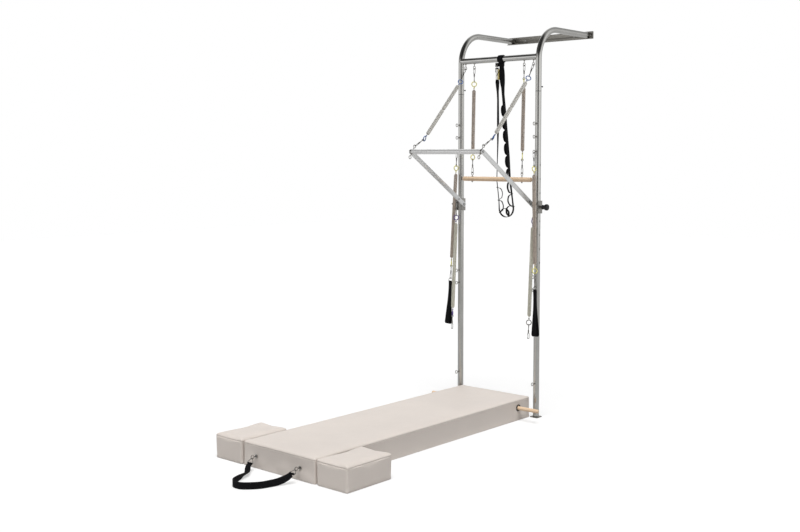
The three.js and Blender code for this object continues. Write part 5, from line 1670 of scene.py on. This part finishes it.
def sewn_line(run, width, lift):
    """A row of points across the strap on one of its faces."""
    here, across = strap_place(run)
    ahead, _ = strap_place(min(run + 2 * MM, STRAP_RUN))
    behind, _ = strap_place(max(run - 2 * MM, 0))
    normal = across.cross((ahead - behind).normalized()).normalized()
    return [here + across * (width * share) + normal * lift for share in (-0.5, 0, 0.5)]


def add_safety_strap():
    form = Form()
    wrap_x = strap_place(0)[0].x
    tab_x = strap_place(STRAP_RUN)[0].x
    middle = Vector((wrap_x, TOWER_Y, CROSSBAR_HEIGHT))
    wrap = circle(WRAP_INNER + WRAP_THICKNESS / 2, 48, Y, Z, middle)
    form.add(band(wrap, [X] * 48, WRAP_WIDTH, WRAP_THICKNESS, True))
    places, ways = zip(*(strap_place(step * STRAP_RUN / 420) for step in range(421)))
    form.add(band(places, ways, STRAP_WIDTH, STRAP_THICKNESS))
    rows = []
    for index, share in enumerate(LOOP_BULGE_SHARES):
        first = FIRST_LOOP_DROP + index * LOOP_PITCH
        start, end = strap_place(first)[0], strap_place(first + LOOP_PITCH)[0]
        chord = end - start
        inward = Vector((chord.z, 0, -chord.x)).normalized()
        bulge = inward * (LOOP_BULGE * share)
        route = smooth_route([start + chord * along + bulge * out for along, out in LOOP_SHAPE_SHARES], 10)
        widths = [strap_place(first + LOOP_PITCH * step / (len(route) - 1))[1] for step in range(len(route))]
        form.add(band(route, widths, LOOP_WIDTH, STRAP_THICKNESS))
        for step in LOOP_ROWS:
            for face in (-1, 1):
                rows.append(sewn_line(first + step, LOOP_WIDTH * 0.86, face * STRAP_THICKNESS * 0.62))
    tab_y = TOWER_Y + TAB_SET_BACK
    left = tab_x - TAB_WIDTH / 2
    tabs = ((left, wrap_x + WRAP_WIDTH / 2, UPPER_HOLE), (left, tab_x + TAB_WIDTH / 2, LOWER_HOLE))
    for low, high, height in tabs:
        run = [Vector((low + (high - low) * step / 8, tab_y, height)) for step in range(9)]
        form.add(band(run, [Z] * 9, TAB_DROP, TAB_THICKNESS))
        for face in (-1, 1):
            y = tab_y + face * (TAB_THICKNESS / 2 + 0.2 * MM)
            half = TAB_DROP / 2 - TAB_INSET
            corners = [(low + TAB_INSET, -half), (high - TAB_INSET, -half), (high - TAB_INSET, half),
                       (low + TAB_INSET, half), (low + TAB_INSET, -half)]
            rows.append([Vector((x, y, height + side)) for x, side in corners])
            grommet = circle(LINK_HOLE / 2 + GROMMET_WIDTH, 28, centre=Vector((tab_x, y, height)))
            form.add(tube(grommet, GROMMET_RADIUS, 8, True, Y), 2)
    for share in (0.32, 0.44, 0.56, 0.68):
        for face in (-1, 1):
            lift = face * STRAP_THICKNESS * 0.6
            rows.append(sewn_line(FIRST_LOOP_DROP * share * 0.18, STRAP_WIDTH * 0.8, lift))
    form.add(stitched(rows, *STRAP_THREAD, black_thread), 1)
    flag = [Vector((LABEL_PLACE, TOWER_Y, LABEL_HEIGHT - LABEL_LENGTH * step / 12)) for step in range(13)]
    turns = [LABEL_ANGLE + step * LABEL_TWIST for step in range(13)]
    ways = [Vector((math.cos(turn), math.sin(turn), 0)) for turn in turns]
    form.add(band(flag, ways, LABEL_WIDTH, LABEL_THICKNESS), 3)
    dress(form, "safety_strap", "safety_strap", [webbing, black_thread, nickel, label], "webbing", 45)


def add_strap_link():
    play = (LINK_HOLE - LINK_WIRE) / 2 - SEAT_GAP
    half = LINK_DEPTH / 2
    upper, lower = UPPER_HOLE - play, LOWER_HOLE + play
    corner = half * 0.6
    x = strap_place(STRAP_RUN)[0].x
    marks = [Vector((x, TOWER_Y + TAB_SET_BACK + y, z)) for y, z in rounded_outline((
        (half, upper, corner), (half, lower, corner), (-half, lower, corner), (-half, upper, corner)), 8)]
    form = Form().add(tube(marks, LINK_WIRE / 2, 12, True, X))
    middle = (upper + lower) / 2
    sleeve = [Vector((x, TOWER_Y + TAB_SET_BACK - half, middle + z * MM)) for z, _ in LINK_NUT_PROFILE]
    wide = LINK_WIRE / 2 + 1 * MM
    form.add(tube(sleeve, [wide * share for _, share in LINK_NUT_PROFILE], 6))
    dress(form, "safety_strap_link", "safety_strap", [nickel], "hook_steel", 45)


# Mat, side blocks and through bar

def edge_lines(length, cell):
    """Places along one side of a cushion: close together at both ends, then a cell apart."""
    near = [share * MAT_EDGE for share in (0, 0.2, 0.5, 1)] + [MAT_EDGE * 1.7]
    inner = length - 2 * near[-1]
    count = max(round(inner / cell), 2)
    middle = [near[-1] + inner * step / count for step in range(1, count)]
    return near + middle + [length - value for value in reversed(near)]


def seam_levels():
    """Heights of a cushion's side, with a groove for the seam below its top edge."""
    top = MAT_HEIGHT - MAT_CROWN
    seam = top - SEAM_DROP
    low = [0, MAT_EDGE * 0.2, MAT_EDGE * 0.5, MAT_EDGE]
    side = [MAT_EDGE * 1.7 + (seam - MAT_EDGE * 1.9) * share for share in (0, 0.2, 0.4, 0.6, 0.8, 0.95)]
    groove = [seam - SEAM_SPREAD, seam, seam + SEAM_SPREAD]
    high = [top - MAT_EDGE * share for share in (0.85, 0.5, 0.2, 0)]
    return low + side + groove + high


def box_grid(xs, ys, zs):
    """The outside of a grid of lines as quads, with one point at each crossing."""
    keys, points, faces = {}, [], []

    def corner(i, j, k):
        if (i, j, k) not in keys:
            keys[i, j, k] = len(points)
            points.append(Vector((xs[i], ys[j], zs[k])))
        return keys[i, j, k]

    far_x, far_y, far_z = len(xs) - 1, len(ys) - 1, len(zs) - 1
    for i in range(far_x):
        for j in range(far_y):
            for k, order in ((0, -1), (far_z, 1)):
                quad = [corner(i, j, k), corner(i + 1, j, k), corner(i + 1, j + 1, k), corner(i, j + 1, k)]
                faces.append(tuple(quad[::order]))
    for k in range(far_z):
        for i in range(far_x):
            for j, order in ((0, 1), (far_y, -1)):
                quad = [corner(i, j, k), corner(i + 1, j, k), corner(i + 1, j, k + 1), corner(i, j, k + 1)]
                faces.append(tuple(quad[::order]))
        for j in range(far_y):
            for i, order in ((0, -1), (far_x, 1)):
                quad = [corner(i, j, k), corner(i, j + 1, k), corner(i, j + 1, k + 1), corner(i, j, k + 1)]
                faces.append(tuple(quad[::order]))
    return points, faces


def cushion_point(point, width, length):
    """Rounds the edges, crowns the top and draws the sides in between the corners."""
    half = Vector((width / 2, length / 2, MAT_HEIGHT / 2))
    p = point - Z * (MAT_HEIGHT / 2)
    core = Vector([max(min(p[axis], half[axis] - MAT_EDGE), MAT_EDGE - half[axis]) for axis in range(3)])
    away = p - core
    if away.length > MAT_EDGE and sum(abs(value) > 1e-7 for value in away) > 1:
        p = core + away.normalized() * MAT_EDGE
    u, v, w = (p[axis] / half[axis] for axis in range(3))
    belly = 1 - w * w
    p.x -= MAT_DRAW_IN * u * (1 - v * v) * belly
    p.y -= MAT_DRAW_IN * v * (1 - u * u) * belly
    rise = 1 - max(abs(u) ** 6, abs(v) ** 10)
    p.z += MAT_CROWN * rise * max(w, 0)
    return p + Z * ((MAT_HEIGHT - MAT_CROWN) / 2)


def inflated(points, faces):
    """Cloth under a little air pressure pulls its creases; no point moves further than the cap."""
    mesh = bpy.data.meshes.new("cover")
    mesh.from_pydata([tuple(point) for point in points], [], faces)
    cover = linked("cover", mesh)
    hold = cover.vertex_groups.new(name="hold")
    top = MAT_HEIGHT - MAT_CROWN
    held = [index for index, point in enumerate(points)
            if point.z < MAT_EDGE * 0.3 or abs(point.z - (top - SEAM_DROP)) < 0.5 * MM]
    hold.add(held, 1.0, "REPLACE")
    modifier = cover.modifiers.new("cloth", "CLOTH")
    for setting, value in CLOTH_SETTINGS.items():
        setattr(modifier.settings, setting, value)
    modifier.settings.vertex_group_mass = "hold"
    modifier.settings.effector_weights.gravity = 0
    modifier.collision_settings.use_collision = False
    scene = bpy.context.scene
    for step in range(1, CLOTH_FRAMES + 1):
        scene.frame_set(step)
    shape, _ = evaluated(cover)
    scene.frame_set(1)
    bpy.data.meshes.remove(mesh)
    capped = []
    for before, after in zip(points, shape):
        shift = after - before
        capped.append(before + shift * (CLOTH_CAP / max(shift.length, CLOTH_CAP)))
    return capped


def smoothed_cover(points, faces):
    """The cover with one subdivision."""
    mesh = bpy.data.meshes.new("cover")
    mesh.from_pydata([tuple(point) for point in points], [], faces)
    whole = linked("cover", mesh)
    levels = whole.modifiers.new("smooth", "SUBSURF")
    levels.levels = levels.render_levels = 1
    made = evaluated(whole)
    bpy.data.meshes.remove(mesh)
    return made


def seam_pressed(point, width, length):
    """The groove of the top seam all round, and of the upright seams at the corners."""
    seam = MAT_HEIGHT - MAT_CROWN - SEAM_DROP
    x_edge, y_edge = width / 2 - abs(point.x), length / 2 - abs(point.y)
    if min(x_edge, y_edge) >= MAT_EDGE:
        return point
    depth = SEAM_DEPTH * math.exp(-((point.z - seam) / SEAM_WIDTH) ** 2)
    if MAT_EDGE < point.z < seam and max(x_edge, y_edge) < MAT_EDGE:
        corner = (x_edge - y_edge) / CORNER_SEAM_WIDTH
        depth += SEAM_DEPTH * 0.9 * math.exp(-corner ** 2)
    outward = Vector((point.x / abs(point.x) if x_edge <= y_edge and point.x else 0,
                      point.y / abs(point.y) if y_edge < x_edge and point.y else 0, 0))
    return point - outward * depth


def seam_stitches(width, length, tree):
    """Stitches just below and above the top seam, laid on the cushion's own sides."""
    seam = MAT_HEIGHT - MAT_CROWN - SEAM_DROP
    rows = []
    for height in (seam + STITCH_DROP, seam - STITCH_DROP):
        row = [Vector((x, y, height)) for x, y in round_rect(width + 8 * MM, length + 8 * MM, MAT_EDGE, 5)]
        row.append(row[0])
        fine = []
        for a, b in zip(row, row[1:]):
            count = max(round((b - a).length / STITCH_STEP), 1)
            fine.extend(a.lerp(b, step / count) for step in range(count))
        snapped = []
        for point in fine + [row[0]]:
            found, normal, _, _ = tree.find_nearest(point)
            snapped.append(Vector((found.x, found.y, height)) + normal * STITCH_LIFT)
        rows.append(snapped)
    return stitched(rows, *MAT_THREAD, pale_thread)


def add_cushion(node, body, width, length, at, bore=False):
    cell = MAT_CELL if width > BLOCK_WIDTH else MAT_CELL * 0.7
    xs = [x - width / 2 for x in edge_lines(width, cell)]
    ys = [y - length / 2 for y in edge_lines(length, cell)]
    levels = seam_levels()
    zs = [z * MAT_HEIGHT / levels[-1] for z in levels]
    points, faces = box_grid(xs, ys, zs)
    points = [cushion_point(point, width, length) for point in points]
    points = inflated(points, faces)
    for point in points:
        point.x = max(min(point.x, width / 2), -width / 2)
        point.y = max(min(point.y, length / 2), -length / 2)
        point.z = max(point.z, 0)
    soft, soft_faces = smoothed_cover(points, faces)
    soft = [seam_pressed(point, width, length) for point in soft]
    tree = BVHTree.FromPolygons([tuple(point) for point in soft], soft_faces)
    stitches = seam_stitches(width, length, tree)
    if bore:
        local = MAT_BAR_Y - (MAT_FAR_Y + MAT_NEAR_Y) / 2
        hole = turned(lathe(rounded_profile(MAT_BORE, -width, width, 1 * MM), 32),
                      moved(0, local, MAT_BAR_HEIGHT) @ Z_TO_X)
        soft, soft_faces = cut_away((soft, soft_faces), [hole])
    form = Form().add((soft, soft_faces), 0, at).add(stitches, 1, at)
    if bore:
        for _, sign in SIDES:
            face = moved(sign * (width / 2 - MAT_DRAW_IN * 0.9), local, MAT_BAR_HEIGHT) @ facing_x(sign)
            ring = level_ring(MAT_BORE + BORE_RING_STEP, 40, BORE_RING_RISE)
            form.add(tube(ring, BORE_RING_RADIUS, 12, True, Z), 2, at @ face)
    piece = form.piece(f"{node}_soft", [vinyl, pale_thread, rubber], "vinyl", 55)
    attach(piece, body)
    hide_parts(node)


def add_cushions():
    middle = place_at(0, (MAT_FAR_Y + MAT_NEAR_Y) / 2, 0)
    add_cushion("mat_centre", "mat", MAT_WIDTH, MAT_LENGTH, middle, True)
    for tag, sign in SIDES:
        x = sign * (MAT_WIDTH / 2 + BLOCK_GAP + BLOCK_WIDTH / 2)
        at = place_at(x, MAT_NEAR_Y + BLOCK_LENGTH / 2, 0)
        add_cushion(f"mat_block_{tag}", f"block_{tag}", BLOCK_WIDTH, BLOCK_LENGTH, at)


def add_mat_bar():
    reach = MAT_WIDTH / 2 + MAT_BAR_REACH
    rest = MAT_BAR_HEIGHT - BORE_GAP + SEAT_GAP
    bar = lathe(softened(rounded_profile(MAT_BAR_RADIUS, -reach, reach, 3 * MM), 1), 36)
    form = Form().add(turned(bar, Z_TO_X), 0, place_at(0, MAT_BAR_Y, rest))
    dress(form, "mat_bar", "mat_bar", [beech], "bar_wood", 45)


# Foot strap

def delta_ring():
    half = DELTA_WIDTH / 2
    apex = EYE_RADIUS - EYE_WIRE / 2 - DELTA_WIRE / 2 - LINK_GAP
    run = DELTA_LENGTH - apex
    right = [Vector((half * across, 0, -apex - run * down)) for across, down in DELTA_SHARES]
    left = [Vector((-mark.x, 0, mark.z)) for mark in right]
    corners = zip([Z * -apex, *left, *reversed(right)], DELTA_ROUND_SHARES)
    outline = rounded_outline([(mark.x, mark.z, half * share) for mark, share in corners], 5)
    marks = [Vector((x, 0, z)) for x, z in outline]
    return tube(marks, DELTA_WIRE / 2, 12, True, Y)


def foot_route(steps):
    """The strap's places and the directions of its width."""
    end_y, end_z = strap_end("right")
    floor_z = FOOT_WEB_WIDTH / 2 + FOOT_FLOOR_GAP
    front = MAT_NEAR_Y - FOOT_STRAP_REACH + WEB_THICKNESS / 2
    reach, rise = end_y - front, end_z - floor_z
    marks, ways = [], []
    for across, forward, up, way_x, way_z in FOOT_ROUTE_SHARES:
        marks.append(Vector((across * FOOT_EYE_PLACE, end_y - forward * reach, floor_z + up * rise)))
        ways.append(Vector((way_x, 0, way_z)))
    route = smooth_route(marks, steps)
    widths = [way.normalized() for way in smooth_route(ways, steps)]
    for place, way in zip(route, widths):
        half = FOOT_WEB_WIDTH / 2 * abs(way.z) + WEB_THICKNESS / 2 * abs(way.x)
        place.z = max(place.z, FOOT_FLOOR_GAP + half)
    return route, widths


def strap_end(tag):
    """Where the strap's sleeve goes round the base of its ring."""
    pull = FOOT_PULL[tag]
    out, down = DELTA_LENGTH * math.cos(pull), DELTA_LENGTH * math.sin(pull)
    return MAT_NEAR_Y - EYE_REACH - out, FOOT_EYE_HEIGHT - down


def add_foot_strap():
    route, widths = foot_route(10)
    form = Form().add(band(route, widths, FOOT_WEB_WIDTH, WEB_THICKNESS))
    sleeve = DELTA_WIRE / 2 + SEAT_GAP + WEB_THICKNESS / 2 + 0.4 * MM
    rows = []
    for tag, sign in SIDES:
        centre = Vector((sign * FOOT_EYE_PLACE, *strap_end(tag)))
        round_run = circle(sleeve, 24, Y, Z, centre)
        form.add(band(round_run, [X] * 24, FOOT_SLEEVE_WIDTH, WEB_THICKNESS, True))
    count = len(route)

    def on_web(index, across, lift):
        tangent = tangent_at(route, index, False)
        normal = widths[index].cross(tangent).normalized()
        rise = tangent.cross(normal)
        return route[index] + rise * (FOOT_WEB_WIDTH * across) + normal * (WEB_THICKNESS * lift)

    for first in (6, 9, 12, 15):
        for index in (first, count - 1 - first):
            for lift in (-0.58, 0.58):
                rows.append([on_web(index, share, lift) for share in (-0.4, 0, 0.4)])
    for edge in (-0.42, 0.42):
        for lift in (-0.5, 0.5):
            rows.append([on_web(index, edge, lift) for index in range(1, count - 1)])
    form.add(stitched(rows, *FOOT_THREAD, black_thread), 1)
    dress(form, "foot_strap", "foot_strap", [webbing, black_thread], "webbing", 45)
    for tag, sign in SIDES:
        x = sign * FOOT_EYE_PLACE
        hung = place_at(x, MAT_NEAR_Y - EYE_REACH, FOOT_EYE_HEIGHT, FOOT_PULL[tag] - QUARTER_TURN)
        ring = Form().add(delta_ring(), 0, hung)
        dress(ring, f"foot_ring_{tag}", "foot_strap", [nickel], "hook_steel", 45)
        seat = place_at(x, MAT_NEAR_Y, FOOT_EYE_HEIGHT) @ Z_TO_MINUS_Y
        bolt = Form().add(eye_bolt(EYE_REACH, FOOT_EYE_SHANK), 0, seat)
        bolt.add(lathe(rounded_profile(*FOOT_EYE_WASHER), 32), 0, seat)
        dress(bolt, f"foot_eye_{tag}", "mat", [nickel], "hook_steel", 45)


# The whole unit

for side_tag, side_sign in SIDES:
    add_upright(side_tag, side_sign)
    add_neck(side_tag, side_sign)
    add_foot_plate(side_tag, side_sign)
    add_slide_bracket(side_tag, side_sign)
    add_pivot_bolt(side_tag, side_sign)
    add_plunger(side_tag, side_sign)
    add_push_arm(side_tag, side_sign)
add_crossbar()
add_wall_bracket()
add_push_bar()
add_push_springs()
add_roll_set()
add_leg_and_arm_springs()
add_safety_strap()
add_strap_link()
add_cushions()
add_mat_bar()
add_foot_strap()


# Floor and light

def plain_floor():
    """A pale floor that reads white where nothing shades it and keeps the soft shadows."""
    finish = Finish("pale_floor", (0.55, 0.55, 0.55), 0.9)
    grain = finish.noise(finish.place(), 6.0)
    finish.paint(finish.spread(grain), (0.56, 0.56, 0.56), (0.54, 0.54, 0.54))
    finish.roughen(grain, 0.86, 0.94)
    path = finish.add("ShaderNodeLightPath")
    finish.join("Emission Strength", finish.math("MULTIPLY", path.outputs["Is Camera Ray"], FLOOR_GLOW))
    finish.set(finish.shader, Emission_Color=(1, 1, 1, 1))
    return finish.material


def set_stage():
    mesh = bpy.data.meshes.new("floor")
    corners = [(x * FLOOR_REACH, y * FLOOR_REACH, 0) for x, y in ((-1, -1), (1, -1), (1, 1), (-1, 1))]
    mesh.from_pydata(corners, [], [(0, 1, 2, 3)])
    mesh.materials.append(plain_floor())
    linked("floor", mesh)


def set_lights():
    data = bpy.data.lights.new("overhead", "SUN")
    data.energy = SUN_STRENGTH
    data.angle = SUN_SPREAD
    lamp = bpy.data.objects.new("overhead", data)
    lamp.rotation_euler = (*SUN_TILT, 0)
    lamp.visible_glossy = False
    bpy.context.scene.collection.objects.link(lamp)


def set_world():
    """White to the camera; soft even light on the object; bands of brightness for metal to reflect."""
    world = bpy.data.worlds.new("studio")
    world.use_nodes = True
    bpy.context.scene.world = world
    tree = world.node_tree
    background = tree.nodes["Background"]
    out = tree.nodes["World Output"]

    def add(kind, links=None, values=None, **settings):
        return tree_node(tree, kind, links, values, **settings)

    path = add("ShaderNodeLightPath")
    way = add("ShaderNodeTexCoord").outputs["Generated"]
    parts = add("ShaderNodeSeparateXYZ", {0: way})
    bearing = add("ShaderNodeMath", {0: parts.outputs["Y"], 1: parts.outputs["X"]}, operation="ARCTAN2")
    turn = add("ShaderNodeMapRange", {"Value": bearing.outputs[0]},
               {"From Min": -HALF_TURN, "From Max": HALF_TURN})
    bands = add("ShaderNodeValToRGB", {"Fac": turn.outputs["Result"]})
    elements = bands.color_ramp.elements
    while len(elements) < len(GLOSS_SHARES):
        elements.new(0.5)
    for element, (place, value) in zip(elements, GLOSS_SHARES):
        element.position = place
        element.color = (value, value, value, 1)
    ceiling = add("ShaderNodeMapRange", {"Value": parts.outputs["Y"]},
                  {"From Min": -0.1, "From Max": 0.5, "To Min": GLOSS_CEILING, "To Max": GLOSS_FAR_CEILING})
    height = add("ShaderNodeMapRange", {"Value": parts.outputs["Z"], "To Max": ceiling.outputs["Result"]},
                 {"From Min": 0.14, "From Max": 0.4, "To Min": 1.0}, interpolation_type="SMOOTHSTEP")
    gloss = add("ShaderNodeMath", {0: bands.outputs["Color"], 1: height.outputs["Result"]},
                operation="MULTIPLY")
    plain = add("ShaderNodeMix", {0: path.outputs["Is Glossy Ray"]}, {2: AMBIENT}, data_type="FLOAT")
    tree.links.new(gloss.outputs[0], plain.inputs[3])
    seen = add("ShaderNodeMath", {0: path.outputs["Is Camera Ray"], 1: path.outputs["Is Transmission Ray"]},
               operation="MAXIMUM")
    strength = add("ShaderNodeMix", {0: seen.outputs[0], 2: plain.outputs[0]}, {3: 1.0}, data_type="FLOAT")
    tree.links.new(strength.outputs[0], background.inputs["Strength"])
    background.inputs["Color"].default_value = (1, 1, 1, 1)
    tree.links.new(background.outputs["Background"], out.inputs["Surface"])


set_stage()
set_lights()
set_world()
bpy.context.scene.view_settings.view_transform = "Standard"
